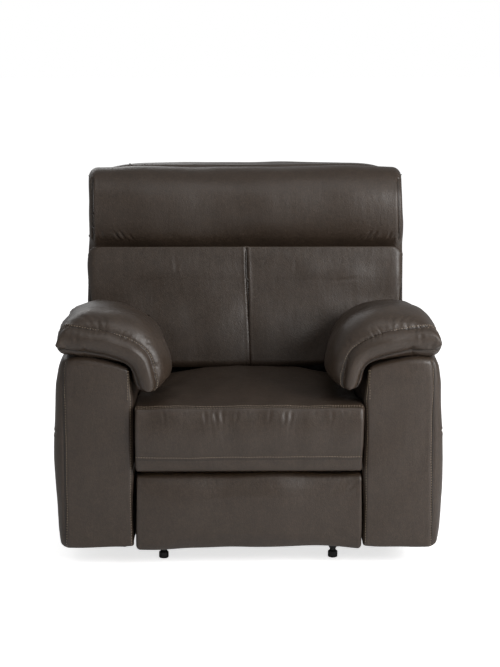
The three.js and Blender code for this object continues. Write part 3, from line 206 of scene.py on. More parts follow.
def leather_material(settings):
    """Semi-aniline cowhide, drum dyed, with a low-gloss top coat: a soft wide highlight, fine pebbles
    and a few flat creases. The pebbles are drawn about twice as wide as real ones so that they show."""
    material, tree, place = new_material("upholstery leather")
    base = tuple(settings.color)
    cloud = node(tree, "ShaderNodeTexNoise", Vector=place, Scale=1 / (34 * MM), Detail=6.0,
                 Roughness=0.7).outputs["Fac"]
    fine = node(tree, "ShaderNodeTexNoise", Vector=place, Scale=1 / (7 * MM), Detail=4.0,
                Roughness=0.7).outputs["Fac"]
    both = node(tree, "ShaderNodeMath", {"operation": "MULTIPLY_ADD"}, _0=fine, _1=0.55,
                _2=node(tree, "ShaderNodeMath", {"operation": "MULTIPLY"}, _0=cloud,
                        _1=0.45).outputs[0]).outputs[0]
    dyed = ramp(tree, both, [(0.34, shade(base, 0.78)), (0.5, base), (0.66, shade(base, 1.28))])
    # Painted shade: the colour is darkened along seams and in pucker valleys, read from the points' 'crease'
    # attribute.
    seam_shade_amount = node(tree, "ShaderNodeAttribute", {"attribute_name": "crease"}).outputs["Fac"]
    painted_seam_shade = ramp(tree, seam_shade_amount, [(0, shade((1, 1, 1), 0.5)), (0.35, (0.92, 0.92, 0.92)),
                             (0.5, (1, 1, 1)), (1, (1, 1, 1))])
    pebble = node(tree, "ShaderNodeTexVoronoi", {"feature": "SMOOTH_F1"}, Vector=place,
                  Scale=1 / settings.grain, Smoothness=0.6, Randomness=0.9).outputs["Distance"]
    pore = ramp(tree, pebble, [(0.1, (1.08, 1.08, 1.08)), (0.6, (0.84, 0.84, 0.84))])
    grained = node(tree, "ShaderNodeMix", {"data_type": "RGBA", "blend_type": "MULTIPLY"},
                   Factor=1.0, _6=dyed, _7=pore).outputs[2]
    color = node(tree, "ShaderNodeMix", {"data_type": "RGBA", "blend_type": "MULTIPLY"},
                 Factor=1.0, _6=grained, _7=painted_seam_shade).outputs[2]
    bent = node(tree, "ShaderNodeVectorMath", {"operation": "MULTIPLY_ADD"},
                _0=node(tree, "ShaderNodeTexNoise", Vector=place, Scale=1 / (20 * MM),
                        Detail=2.0).outputs["Color"],
                _1=(9 * MM,) * 3, _2=place).outputs[0]
    field = node(tree, "ShaderNodeTexVoronoi", {"feature": "DISTANCE_TO_EDGE"}, Vector=bent,
                 Scale=1 / settings.crease, Randomness=1.0).outputs["Distance"]
    line = node(tree, "ShaderNodeMapRange", {"interpolation_type": "SMOOTHSTEP"}, Value=field,
                From_Min=0.0, From_Max=0.06).outputs[0]
    mask = node(tree, "ShaderNodeMapRange", Value=cloud, From_Min=0.45, From_Max=0.62,
                To_Min=1.0, To_Max=0.35).outputs[0]
    shown = node(tree, "ShaderNodeMath", {"operation": "MAXIMUM"}, _0=line, _1=mask).outputs[0]
    rough = node(tree, "ShaderNodeMapRange", Value=fine, From_Min=0.3, From_Max=0.7,
                 To_Min=settings.roughness - 0.05, To_Max=settings.roughness + 0.06).outputs[0]
    large = node(tree, "ShaderNodeBump", Strength=0.22, Distance=0.5 * MM, Height=shown)
    middle = node(tree, "ShaderNodeBump", Strength=0.25, Distance=0.9 * MM, Height=fine,
                  Normal=large.outputs[0])
    hung = node(tree, "ShaderNodeMapping", Vector=place, Scale=(1, 1, 0.3)).outputs[0]
    drape = node(tree, "ShaderNodeTexNoise", Vector=hung, Scale=1 / (26 * MM), Detail=3.0,
                 Roughness=0.55).outputs["Fac"]
    soft = node(tree, "ShaderNodeBump", Strength=0.5, Distance=2.2 * MM, Height=drape,
                Normal=middle.outputs[0])
    small = node(tree, "ShaderNodeBump", {"invert": True}, Strength=0.5, Distance=0.5 * MM,
                 Height=pebble, Normal=soft.outputs[0])
    close(tree, node(tree, "ShaderNodeBsdfPrincipled", Base_Color=color, Roughness=rough,
                     Normal=small.outputs[0], IOR=1.5, Specular_IOR_Level=0.5))
    return material


def coated_material(name, color, roughness, metallic, peel, height):
    """A plain hard finish with a fine uneven skin: powder coat, zinc, moulded plastic or thread."""
    material, tree, place = new_material(name)
    skin = node(tree, "ShaderNodeTexNoise", Vector=place, Scale=1 / peel, Detail=3.0).outputs["Fac"]
    patch = node(tree, "ShaderNodeTexNoise", Vector=place, Scale=1 / (60 * MM),
                 Detail=3.0).outputs["Fac"]
    tint = ramp(tree, patch, [(0.35, shade(color, 0.86)), (0.65, shade(color, 1.1))])
    rough = node(tree, "ShaderNodeMapRange", Value=patch, From_Min=0.3, From_Max=0.7,
                 To_Min=roughness - 0.06, To_Max=roughness + 0.06).outputs[0]
    bump = node(tree, "ShaderNodeBump", Strength=0.3, Distance=height, Height=skin)
    close(tree, node(tree, "ShaderNodeBsdfPrincipled", Base_Color=tint, Roughness=rough,
                     Metallic=metallic, Normal=bump.outputs[0]))
    return material


def plywood_material():
    """Unfinished birch plywood, sanded: pale, matt, with long grain along the board."""
    material, tree, place = new_material("birch plywood")
    stretched = node(tree, "ShaderNodeMapping", Vector=place, Scale=(0.12, 1, 1)).outputs[0]
    grain = node(tree, "ShaderNodeTexNoise", Vector=stretched, Scale=1 / (4 * MM), Detail=5.0,
                 Distortion=0.6).outputs["Fac"]
    color = ramp(tree, grain, [(0.3, linear("#9c7647")), (0.55, linear("#c29a68")),
                               (0.8, linear("#d3b182"))])
    bump = node(tree, "ShaderNodeBump", Strength=0.25, Distance=0.3 * MM, Height=grain)
    close(tree, node(tree, "ShaderNodeBsdfPrincipled", Base_Color=color, Roughness=0.62,
                     Normal=bump.outputs[0]))
    return material


materials = {}


def make_materials(scene):
    """Every finish of the seat, under the record's slot names where it has one."""
    materials["leather"] = leather_material(scene.recliner_leather)
    materials["frame_steel"] = coated_material(
        "black powder coat", linear("#1c1c1e"), 0.42, 0.0, 0.9 * MM, 0.15 * MM)
    materials["bright_steel"] = coated_material(
        "zinc plating", linear("#b4b6b8"), 0.34, 1.0, 0.5 * MM, 0.05 * MM)
    materials["timber"] = plywood_material()
    # The back frame's board takes a flat black instead of its plywood, painted shade for where it shows when the
    # head roll tilts.
    materials["frame_shade"] = coated_material(
        "black painted shade on the back frame", linear("#1b1a19"), 0.88, 0.0, 1.2 * MM, 0.15 * MM)
    materials["black_plastic"] = coated_material(
        "moulded polypropylene", linear("#161617"), 0.5, 0.0, 0.8 * MM, 0.12 * MM)
    materials["button_plastic"] = coated_material(
        "moulded satin keys", linear("#2b2b2d"), 0.36, 0.0, 1.5 * MM, 0.05 * MM)
    materials["thread"] = coated_material(
        "bonded polyester thread", tuple(scene.recliner_leather.thread), 0.55, 0.0, 0.5 * MM,
        0.2 * MM)


# Shapes

def lengths(line):
    """How far along an open line each of its points lies."""
    return np.r_[0, np.cumsum(np.linalg.norm(np.diff(line, axis=0), axis=1))]


def points_at(line, run, want):
    """The points of a line that lie at the wanted lengths along it."""
    return np.stack([np.interp(want, run, line[:, k]) for k in range(line.shape[1])], 1)


def curve(points, count, closed=False):
    """Points spaced evenly along a smooth curve through the given ones."""
    p = np.asarray(points, float)
    if closed:
        p = np.vstack([p[-1], p, p[0], p[1]])
    else:
        p = np.vstack([2 * p[0] - p[1], p, 2 * p[-1] - p[-2]])
    t = np.linspace(0, 1, 24, endpoint=False)[:, None]
    fine = [0.5 * (2 * b + (c - a) * t + (2 * a - 5 * b + 4 * c - d) * t ** 2
                   + (3 * b - a - 3 * c + d) * t ** 3)
            for a, b, c, d in zip(p, p[1:], p[2:], p[3:])]
    fine = np.vstack(fine + [p[-2][None]])
    run = lengths(fine)
    return points_at(fine, run, np.linspace(0, run[-1], count, endpoint=not closed))


def span(name):
    """A frame node's lowest and highest corners."""
    low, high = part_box(name)
    return np.array(low), np.array(high)


def leaned(n, t):
    """A point of the back, n behind its hinge and t up along it, as Y and Z."""
    return (HINGE.y + n * math.cos(LEAN) + t * math.sin(LEAN),
            HINGE.z - n * math.sin(LEAN) + t * math.cos(LEAN))


def level(n, z):
    """How far back a point lies that is n behind the back's plane, at a height."""
    return HINGE.y + (z - HINGE.z) * math.tan(LEAN) + n / math.cos(LEAN)


def closed_ends(rings, cap):
    """Rings that close a row of rings at both ends: each draws in to the line between its halves."""
    def closing(edge):
        middle = (edge + edge[::-1]) / 2
        shares = [1 - (k + 1) / (cap + 0.2) for k in range(cap)]
        return [middle + (edge - middle) * share for share in shares]
    return np.concatenate([closing(rings[0])[::-1], rings, closing(rings[-1])])


def tucked(share):
    """How far a rounded edge has drawn in, in radii, at a share of the way round it."""
    return 1 - math.sqrt(1 - min(max(share, 0), 1) ** 2)


def evened(ring, count):
    """Points spaced evenly round a closed outline, from its first point on."""
    loop = np.vstack([ring, ring[:1]])
    run = lengths(loop)
    return points_at(loop, run, (np.arange(count) + 0.5) * run[-1] / count)


row_length = {}


def skin(name, rings, cap=6):
    """A closed soft body over rings of points that lie opposite one another in pairs."""
    rings = np.asarray(rings, float)
    return woven(name, closed_ends(rings, cap) if cap else rings)


def woven(name, rings):
    """A closed mesh over rings, with its first and last ring zipped shut."""
    rows, count = rings.shape[:2]
    j = np.arange(count)
    i = np.arange(rows - 1)[:, None]
    here, beyond = i * count + j, i * count + (j + 1) % count
    faces = np.stack([here, beyond, beyond + count, here + count], 2).reshape(-1, 4)
    k = np.arange(count // 2 - 1)
    last = (rows - 1) * count
    faces = np.vstack([faces, np.stack([count - 1 - k, count - 2 - k, k + 1, k], 1),
                       np.stack([k, k + 1, count - 2 - k, count - 1 - k], 1) + last])
    row_length[name] = count
    return solid(name, rings.reshape(-1, 3), faces.tolist())


def solid(name, points, faces):
    """A smooth mesh object whose faces point outwards."""
    mesh = bpy.data.meshes.new(name)
    mesh.from_pydata([tuple(p) for p in points], [], faces)
    mesh.polygons.foreach_set("use_smooth", [True] * len(mesh.polygons))
    piece = bpy.data.objects.new(name, mesh)
    bpy.context.scene.collection.objects.link(piece)
    face_out(mesh)
    return piece


def face_out(mesh):
    """Turns the faces of a closed mesh outwards."""
    mesh.calc_loop_triangles()
    co = points_in(mesh)
    index = np.empty(len(mesh.loop_triangles) * 3, int)
    mesh.loop_triangles.foreach_get("vertices", index)
    a, b, c = co[index.reshape(-1, 3)].transpose(1, 0, 2)
    if np.einsum("ij,ij->i", a, np.cross(b, c)).sum() < 0:
        mesh.flip_normals()
    mesh.update()


def points_in(mesh):
    """The places of a mesh's points, as rows of X, Y and Z."""
    co = np.empty(len(mesh.vertices) * 3)
    mesh.vertices.foreach_get("co", co)
    return co.reshape(-1, 3)


def normals_in(mesh):
    """The normals at a mesh's points."""
    out = np.empty(len(mesh.vertices) * 3)
    mesh.vertex_normals.foreach_get("vector", out)
    return out.reshape(-1, 3)


def set_points(mesh, co):
    mesh.vertices.foreach_set("co", np.asarray(co, float).ravel())
    mesh.update()


def drawn_in(profile, amount):
    """A closed flat profile made smaller about its middle by an amount at each side."""
    low, high = profile.min(0), profile.max(0)
    middle, reach = (low + high) / 2, (high - low) / 2
    return middle + (profile - middle) * (1 - np.minimum(amount / reach, 0.6))


def bolster(name, profile, half, radius, middle, corner):
    """A soft body along X whose section is a closed profile of Y and Z, with rounded end edges."""
    turns = np.linspace(0, math.radians(84), corner)
    tails = [(half - radius + radius * math.sin(t), radius * (1 - math.cos(t))) for t in turns]
    places = [(-x, r) for x, r in reversed(tails)]
    places += [(x, 0) for x in np.linspace(-half + radius, half - radius, middle)[1:-1]]
    places += tails
    rings = []
    for x, r in places:
        ring = drawn_in(profile, r)
        rings.append(np.column_stack([np.full(len(ring), x), ring]))
    return skin(name, rings)


# Sewing: what seams, folds and foam do to a surface

def beside(co, path, reach):
    """For the points within reach of a path: their index, distance, and place along the path."""
    path = curve(path, max(int(run_of(path) / (1.5 * MM)), 8))
    low, high = path.min(0) - reach, path.max(0) + reach
    near = np.nonzero(((co > low) & (co < high)).all(1))[0]
    tree = KDTree(len(path))
    for i, p in enumerate(path):
        tree.insert(p, i)
    tree.balance()
    run = lengths(path)
    found = [tree.find(co[i])[1:] for i in near]
    place = run[[f[0] for f in found]] if found else np.zeros(0)
    gap = np.array([f[1] for f in found])
    inside = gap < reach
    return near[inside], gap[inside], place[inside], run[-1]


def run_of(path):
    """The whole length of a path."""
    return float(np.linalg.norm(np.diff(np.asarray(path, float), axis=0), axis=1).sum())


class Sewing:
    """Collects how far each point of a piece moves along its normal and how much shade is painted into its colour,
    then moves them all at once.
    """

    def __init__(self, piece, seed):
        self.piece = piece
        self.co = points_in(piece.data)
        self.move = np.zeros(len(self.co))
        self.painted_shade = np.zeros(len(self.co))
        self.random = np.random.RandomState(seed)

    def groove(self, path, width, depth, shoulder=0.35):
        """A seam pulls the leather in along its path, and it swells a little on both sides; shade is painted into
        its groove.
        """
        at, gap, _, _ = beside(self.co, path, width * 6)
        dip = np.exp(-(gap / width) ** 2)
        rise = (gap / width) ** 2 * np.exp(-(gap / (width * 1.7)) ** 2) * shoulder
        self.move[at] += depth * (rise - dip)
        self.painted_shade[at] = np.maximum(self.painted_shade[at], np.exp(-(gap / (width * 0.55)) ** 2))

    def gather(self, path, reach, height, pitch, keep=None):
        """Short puckers square to a seam, as where the leather is eased into it; shade is painted into their
        valleys.
        """
        slant, left_out = 0.3, 0.35
        at, gap, place, whole = beside(self.co, path, reach)
        if keep is not None:
            held = keep(self.co[at])
            at, gap, place = at[held], gap[held], place[held]
        here = 0.0
        total = np.zeros(len(at))
        while here < whole:
            here += pitch * self.random.uniform(0.5, 1.6)
            length = reach * self.random.uniform(0.4, 1)
            wide = pitch * self.random.uniform(0.13, 0.26)
            force = self.random.uniform(0.35, 1)
            lean = self.random.uniform(-slant, slant)
            if self.random.uniform() < left_out:
                continue
            fade = np.clip(1 - gap / length, 0, 1) ** 1.4
            across = (place - here - lean * gap) / (wide * (1 + 1.2 * gap / reach))
            total += force * fade * (0.45 * np.exp(-(across / 2.1) ** 2) - np.exp(-across ** 2))
        self.move[at] += height * total
        self.painted_shade[at] = np.maximum(self.painted_shade[at], np.clip(-total, 0, 1) * 0.35)

    def fold(self, path, width, depth):
        """One soft fold along a path: a valley that fades at both ends, with a swell beside it."""
        at, gap, place, whole = beside(self.co, path, width * 4)
        taper = np.sin(np.pi * np.clip(place / whole, 0, 1)) ** 0.8
        shape = 0.45 * np.exp(-((gap - 1.9 * width) / width) ** 2) - np.exp(-(gap / width) ** 2)
        self.move[at] += depth * taper * shape

    def undulate(self, size, height):
        """Slow swells of the foam under the leather."""
        for _ in range(14):
            way = self.random.normal(size=3)
            way *= self.random.uniform(0.6, 1.4) / np.linalg.norm(way)
            turn = self.random.uniform(0, 2 * math.pi)
            self.move += height * 0.38 * np.sin(self.co @ way * (math.pi / size) + turn)

    def finish(self):
        co = self.co + normals_in(self.piece.data) * self.move[:, None]
        set_points(self.piece.data, co)
        # The painted shade is stored as the 'crease' attribute, which darkens the leather's colour.
        crease = self.piece.data.attributes.new("crease", "FLOAT", "POINT")
        value = np.clip(0.5 - 0.5 * self.painted_shade, 0, 1)
        crease.data.foreach_set("value", value.astype(np.float32))
        self.piece.data.update()


def between(before, start, end, after):
    """Points halfway along smooth curves, kept near the straight middle where a curve turns hard."""
    bend = (start + end - before - after) / 16
    reach = np.linalg.norm(bend, axis=-1, keepdims=True)
    most = 0.15 * np.linalg.norm(end - start, axis=-1, keepdims=True)
    return (start + end) / 2 + bend * np.minimum(1, most / (reach + 1e-12))


def refine(piece):
    """Twice the rings and twice the points of each, laid along smooth curves."""
    name = piece.name
    rings = points_in(piece.data).reshape(-1, row_length[name], 3)
    middles = between(*(np.roll(rings, k, 1) for k in (1, 0, -1, -2)))
    rows = np.stack([rings, middles], 2).reshape(len(rings), -1, 3)
    ends = np.concatenate([rows[:1], rows, rows[-1:]])
    finer = np.empty((2 * len(rows) - 1, *rows.shape[1:]))
    finer[::2] = rows
    finer[1::2] = between(ends[:-3], ends[1:-2], ends[2:-1], ends[3:])
    piece.name = "coarse"
    made = woven("finer", finer)
    row_length[name] = row_length.pop("finer")
    mesh = made.data
    bpy.data.objects.remove(made)
    swap_mesh(piece, mesh)
    piece.name = piece.data.name = name


def evaluated_mesh(piece):
    """A new mesh of a piece with its modifiers applied."""
    graph = bpy.context.evaluated_depsgraph_get()
    graph.update()
    return bpy.data.meshes.new_from_object(piece.evaluated_get(graph), depsgraph=graph)


def swap_mesh(piece, mesh):
    old = piece.data
    piece.data = mesh
    bpy.data.meshes.remove(old)
    mesh.name = piece.name


def keep_result(piece):
    """Turns what a piece's modifiers make of it into its own mesh."""
    made = evaluated_mesh(piece)
    piece.modifiers.clear()
    swap_mesh(piece, made)


def evened_out(moved, count, rounds):
    """Movements on a grid of rings, with the sharpest wrinkles evened out."""
    grid = moved.reshape(-1, count, 3)
    for _ in range(rounds):
        grid = (np.roll(grid, 1, 1) + 2 * grid + np.roll(grid, -1, 1)) / 4
        rows = np.concatenate([grid[:1], grid, grid[-1:]])
        grid = (rows[:-2] + 2 * rows[1:-1] + rows[2:]) / 4
    return grid.reshape(-1, 3)


def settle(piece, held, pressure, cap, slack=0.0, rounds=3):
    """The foam swells its cover between the seams that hold it: a short cloth simulation."""
    frames = 20
    group = piece.vertex_groups.new(name="held")
    co = points_in(piece.data)
    group.add([int(i) for i in np.nonzero(held(co))[0]], 1, "REPLACE")
    modifier = piece.modifiers.new("cover", "CLOTH")
    cloth = modifier.settings
    cloth.quality = 4
    cloth.mass = 0.4
    cloth.tension_stiffness = cloth.compression_stiffness = 20
    cloth.shear_stiffness = 10
    cloth.bending_stiffness = 4
    cloth.vertex_group_mass = "held"
    cloth.use_pressure = True
    cloth.uniform_pressure_force = pressure
    cloth.shrink_min = -slack
    cloth.effector_weights.gravity = 0
    modifier.point_cache.frame_start = 1
    modifier.point_cache.frame_end = frames
    for number in range(1, frames + 1):
        bpy.context.scene.frame_set(number)
    made = evaluated_mesh(piece)
    moved = evened_out(points_in(made) - co, row_length[piece.name], rounds)
    length = np.linalg.norm(moved, axis=1)[:, None]
    moved *= np.minimum(1, cap / (length + 1e-9))
    piece.modifiers.clear()
    piece.vertex_groups.clear()
    bpy.data.meshes.remove(made)
    bpy.context.scene.frame_set(1)
    set_points(piece.data, co + moved)


# Seams are noted as each piece is made, and sewn at the end, body by body

stitch_paths = {}
welt_paths = {}


def lay(piece, path, lift, sunk=0.0):
    """A path laid on a piece's surface, lifted off it a little, its ends sunk under the surface."""
    tree = BVHTree.FromObject(piece, bpy.context.evaluated_depsgraph_get())
    count = max(int(run_of(path) / PATH_STEP), 4)
    lifts = np.full(count, float(lift))
    lifts[[0, -1]] -= sunk
    lifts[[1, -2]] -= sunk * 0.3
    out = []
    for point, rise in zip(curve(path, count), lifts):
        found, normal, _, _ = tree.find_nearest(Vector(point))
        out.append(found + normal * rise)
    return np.array(out)


def note_stitches(piece, body, path, lift=0.2 * MM):
    stitch_paths.setdefault(body, []).append(lay(piece, path, lift))


def note_welt(piece, body, path, lift=0.0):
    welt_paths.setdefault(body, []).append(lay(piece, path, lift, WELT_ENDS_SUNK))


def cover(piece, body, nodes):
    """A leather cushion: its material, the body it moves with and the solids it stands for."""
    piece.data.materials.clear()
    piece.data.materials.append(materials["leather"])
    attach(piece, body)
    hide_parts(*nodes)


def aside(path, amount):
    """A path moved to one side of itself, as seen from the front."""
    step = np.gradient(path, axis=0)
    way = np.stack([-step[:, 2], 0 * step[:, 1], step[:, 0]], 1)
    return path + amount * way / (np.linalg.norm(way, axis=1, keepdims=True) + 1e-9)


def shifted(path, axis, amount):
    out = np.array(path, float)
    out[:, axis] += amount
    return out


# Seat cushion

SEAT_SHARES = [
    (1.0, 0.5), (0.995, 0.7), (0.97, 0.84), (0.935, 0.92), (0.9, 0.972), (0.84, 0.998), (0.62, 1.0),
    (0.4, 1.0), (0.22, 0.996), (0.1, 0.99), (0.045, 0.985), (0.014, 0.975), (-0.004, 0.94),
    (-0.013, 0.88), (-0.021, 0.78), (-0.025, 0.64), (-0.023, 0.49), (-0.015, 0.33), (-0.002, 0.2),
    (0.003, 0.1), (0.01, 0.03),
    (0.026, 0.008), (0.042, 0.01), (0.052, 0.05), (0.06, 0.13), (0.09, 0.154), (0.3, 0.154),
    (0.6, 0.154), (0.9, 0.154), (0.97, 0.17), (0.99, 0.27), (1.0, 0.4),
]


def seat_cushion(scene):
    seams = scene.recliner_seams
    low, high = span("seat_cushion")
    size = high - low
    profile = curve([(low[1] + size[1] * a, low[2] + size[2] * b) for a, b in SEAT_SHARES], 400, True)
    profile = evened(profile, 180)
    half = high[0]
    piece = bolster("seat_cushion_cover", profile, half, 7 * MM, middle=120, corner=5)
    co = points_in(piece.data)
    upper_z, lower_z = low[2] + 0.978 * size[2], low[2] + 0.197 * size[2]
    # The top is crowned across, more so towards the back.
    crowned, level_front = 40 * MM, 400 * MM
    top = np.clip((co[:, 2] - (high[2] - crowned)) / crowned, 0, 1)
    back = np.clip((co[:, 1] - low[1]) / level_front, 0.05, 1)
    co[:, 2] -= top * crowned * (np.abs(co[:, 0]) / half) ** 2.4 * back
    set_points(piece.data, co)
    settle(piece, lambda p: (p[:, 2] < lower_z + 2 * MM) | (p[:, 1] > high[1] - 60 * MM)
           | (np.abs(p[:, 0]) > half - 4 * MM)
           | ((np.abs(p[:, 2] - upper_z) < 5 * MM) & (p[:, 1] < low[1] + 24 * MM)), 2.0, 8 * MM)
    refine(piece)
    places = np.linspace(-half + 2 * MM, half - 2 * MM, 40)
    fall = 2 * MM * (np.abs(places) / half) ** 2.4
    upper = np.stack([places, np.full(40, low[1] + 5 * MM), upper_z - fall], 1)
    lower = np.stack([places, np.full(40, low[1] - 4 * MM), np.full(40, lower_z)], 1)
    upper, lower = lay(piece, upper, 0), lay(piece, lower, 0)
    sew = Sewing(piece, 11)
    sew.undulate(150 * MM, 2.0 * MM)
    sew.undulate(50 * MM, 0.7 * MM)
    sew.move *= smooth(sew.co[:, 2], low[2] + 2 * MM, low[2] + 40 * MM)
    sew.groove(upper, seams.width * 0.7, seams.depth * 0.8)
    sew.groove(lower, seams.width * 0.6, seams.depth * 0.5)
    sew.gather(upper, 40 * MM, 1.5 * MM, 17 * MM, lambda p: p[:, 2] < upper_z + 1 * MM)
    sew.gather(upper, 22 * MM, 0.7 * MM, 22 * MM, lambda p: p[:, 2] > upper_z - 6 * MM)
    sew.gather(lower, 20 * MM, 0.5 * MM, 18 * MM)
    front = low[1] - 8 * MM
    for x, top_z, length, lean, deep in (
            (-120, 448, 78, 9, 1.5), (-92, 446, 96, 12, 2.2), (-74, 448, 66, 8, 1.5),
            (-30, 448, 44, -6, 0.9), (60, 448, 60, -14, 1.2), (98, 446, 86, -9, 1.8),
            (116, 446, 76, -12, 1.4), (226, 448, 60, -8, 1.0), (-232, 448, 56, 10, 1.0)):
        sew.fold([(x * MM, front, top_z * MM), ((x + lean) * MM, front, (top_z - length) * MM)],
                 4.5 * MM, deep * MM)
    sew.finish()
    note_stitches(piece, "base", shifted(upper, 2, -seams.offset))
    note_stitches(piece, "base", shifted(upper, 1, seams.offset * 1.1))
    note_stitches(piece, "base", shifted(lower, 2, seams.offset * 1.7))
    cover(piece, "base", ["seat_cushion"])
    return piece


# Footrest pad

FOOTREST_SHARES = [
    (0.5, 1.025), (0.25, 1.015), (0.1, 0.975), (0.02, 0.89), (-0.04, 0.74), (-0.055, 0.55),
    (-0.045, 0.35), (-0.015, 0.16), (0.06, 0.05), (0.2, 0.01), (0.5, 0.0), (0.8, 0.0),
    (0.98, 0.005), (1.0, 0.02), (1.0, 0.35), (1.0, 0.65), (1.0, 1.0), (0.98, 1.022), (0.8, 1.025),
]


def footrest_pad():
    low, high = span("footrest_pad")
    size = high - low
    profile = curve([(low[1] + size[1] * a, low[2] + size[2] * b) for a, b in FOOTREST_SHARES],
                    300, True)
    profile = evened(profile, 110)
    piece = bolster("footrest_cover", profile, high[0], 7 * MM, middle=110, corner=5)
    co = points_in(piece.data)
    co[:, 0] *= 1 - 0.012 * (high[2] - co[:, 2]) / size[2]
    set_points(piece.data, co)
    rear = high[1] - 5 * MM
    settle(piece, lambda p: (p[:, 1] > rear) | (np.abs(p[:, 0]) > high[0] - 8 * MM), 1.5, 7 * MM)
    refine(piece)
    sew = Sewing(piece, 23)
    sew.undulate(170 * MM, 1.8 * MM)
    sew.undulate(60 * MM, 0.6 * MM)
    top_edge = [(x, low[1] + 14 * MM, high[2] - 6 * MM)
                for x in np.linspace(low[0] + 4 * MM, high[0] - 4 * MM, 12)]
    sew.gather(top_edge[:3], 30 * MM, 0.6 * MM, 15 * MM)
    sew.gather(top_edge[-3:], 30 * MM, 0.6 * MM, 15 * MM)
    for side in (-1, 1):
        corner = [(side * (high[0] - 12 * MM), low[1] + 4 * MM, high[2] - 16 * MM),
                  (side * (high[0] - 46 * MM), low[1] - 2 * MM, high[2] - 44 * MM)]
        sew.fold(corner, 5 * MM, 0.9 * MM)
        end = [(side * (high[0] - 1 * MM), low[1] + 5 * MM, z)
               for z in np.linspace(low[2] + 16 * MM, high[2] - 16 * MM, 8)]
        end = lay(piece, end, 0)
        sew.groove(end, 3 * MM, 1.2 * MM)
    sew.finish()
    cover(piece, "footrest", ["footrest_pad"])
    return piece


# Arm covers

ARM_SIDE = [(60, 508), (72, 513), (110, 518), (150, 521.5), (217, 525), (300, 527), (367, 526),
            (430, 523.5), (510, 518), (555, 511), (583, 500)]


def arm_ring(inner, outer, front, rear, r_in, r_out):
    """A level outline of the arm from the middle of its front, with rounder outer corners."""
    points = [((inner + outer) / 2, front)]
    for cx, cy, r, start in ((outer - r_out, front + r_out, r_out, 270),
                             (outer - r_out, rear - r_out, r_out, 0),
                             (inner + r_in, rear - r_in, r_in, 90),
                             (inner + r_in, front + r_in, r_in, 180)):
        for k in range(9):
            turn = math.radians(start + 90 * k / 8)
            points.append((cx + r * math.cos(turn), cy + r * math.sin(turn)))
    return evened(np.array(points), 200)


def arm_cover(scene, side):
    seams = scene.recliner_seams
    way = SIDES[side]
    low, high = span(f"arm_cover_{side}")
    inner = min(abs(low[0]), abs(high[0]))
    outer = max(abs(low[0]), abs(high[0]))
    front, rear, floor, top = low[1], high[1], low[2], high[2]
    round_top, round_low = 17 * MM, 9 * MM
    rings = []
    heights = [floor + round_low * (1 - math.cos(t)) for t in np.linspace(0.35, math.pi / 2, 5)]
    heights += list(np.linspace(floor + round_low, top - round_top, 66))[1:-1]
    heights += [top - round_top * (1 - math.sin(t)) for t in np.linspace(0, 1.3, 8)]
    for z in heights:
        draw = (round_low * tucked((floor + round_low - z) / round_low)
                + round_top * tucked((z - top + round_top) / round_top))
        side_x = np.interp(z / MM, *zip(*ARM_SIDE)) * MM
        r_out = np.interp(z / MM, (60, 160, 583), (24, 34, 34)) * MM
        r_in = np.interp(z / MM, (60, 200, 430, 560), (9, 15, 15, 9)) * MM
        flat = arm_ring(inner + draw * 0.6, side_x - draw, front + draw, rear - draw,
                        r_in - draw * 0.2, r_out - draw * 0.5)
        rings.append(np.column_stack([flat[:, 0] * way, flat[:, 1], np.full(len(flat), z)]))
    piece = skin(f"arm_cover_{side}_leather", rings, cap=10)
    co = points_in(piece.data)
    # The top slopes down to the inner edge, under the pad.
    fall = np.clip((co[:, 2] - (top - 110 * MM)) / (110 * MM), 0, 1)
    toward = np.clip(((inner + 130 * MM) - np.abs(co[:, 0])) / (130 * MM), 0, 1)
    co[:, 2] -= fall * 25 * MM * toward ** 1.3
    co[:, 0] += way * 12 * MM * fall * toward ** 3
    set_points(piece.data, co)
    refine(piece)
    sew = Sewing(piece, 31 if way > 0 else 37)
    x_out = outer - 25 * MM
    split = floor + 0.605 * (top - floor)
    seam, inner_seam, rear_seam, side_seam = [lay(piece, line, 0) for line in (
        [(way * (x_out - 3 * MM * math.sin(math.pi * k / 19)), front,
          floor + 4 * MM + (top - floor - 10 * MM) * k / 19) for k in range(20)],
        [(way * (inner + 3 * MM), front, z)
         for z in np.linspace(floor + 6 * MM, top - 40 * MM, 16)],
        [(way * x_out, rear, z) for z in np.linspace(floor + 4 * MM, top - 8 * MM, 16)],
        [(way * (outer + 12 * MM), y, split)
         for y in np.linspace(front + 12 * MM, rear - 12 * MM, 30)])]
    sew.undulate(190 * MM, 2.4 * MM)
    sew.undulate(70 * MM, 0.8 * MM)
    front_face = np.clip((front + 20 * MM - sew.co[:, 1]) / (20 * MM), 0, 1)
    middle = (inner + x_out) / 2
    full = np.clip(1 - ((np.abs(sew.co[:, 0]) - middle) / ((x_out - inner) / 2)) ** 2, 0, 1)
    sew.move += front_face * full ** 0.7 * 5 * MM
    for line, wide, deep in ((seam, 1, 0.9), (inner_seam, 0.8, 0.5), (rear_seam, 1, 0.8),
                             (side_seam, 0.9, 0.8)):
        sew.groove(line, seams.width * wide, seams.depth * deep)
    for line, reach, height, pitch in ((seam, 24, 0.6, 22), (side_seam, 30, 0.8, 26),
                                       (rear_seam, 26, 0.7, 24)):
        sew.gather(line, reach * MM, height * MM, pitch * MM)
    sew.finish()
    short = [(way * (inner + 6 * MM), front, z)
             for z in np.linspace(top - 110 * MM, top - 34 * MM, 6)]
    for line, axis, share in ((seam, 0, -way), (rear_seam, 0, -way), (side_seam, 2, -1),
                              (inner_seam, 0, way * 0.8), (short, 0, 0), (short, 0, way * 1.8)):
        note_stitches(piece, "base", shifted(line, axis, share * seams.offset))
    note_welt(piece, "base", seam, 0.3 * MM)
    cover(piece, "base", [f"arm_cover_{side}"])
    return piece


# Arm pads. Each is a band across the arm: its top, its two front seams and its underside,
# from the outer end to the tip beside the seat, as places of X and height in millimetres.

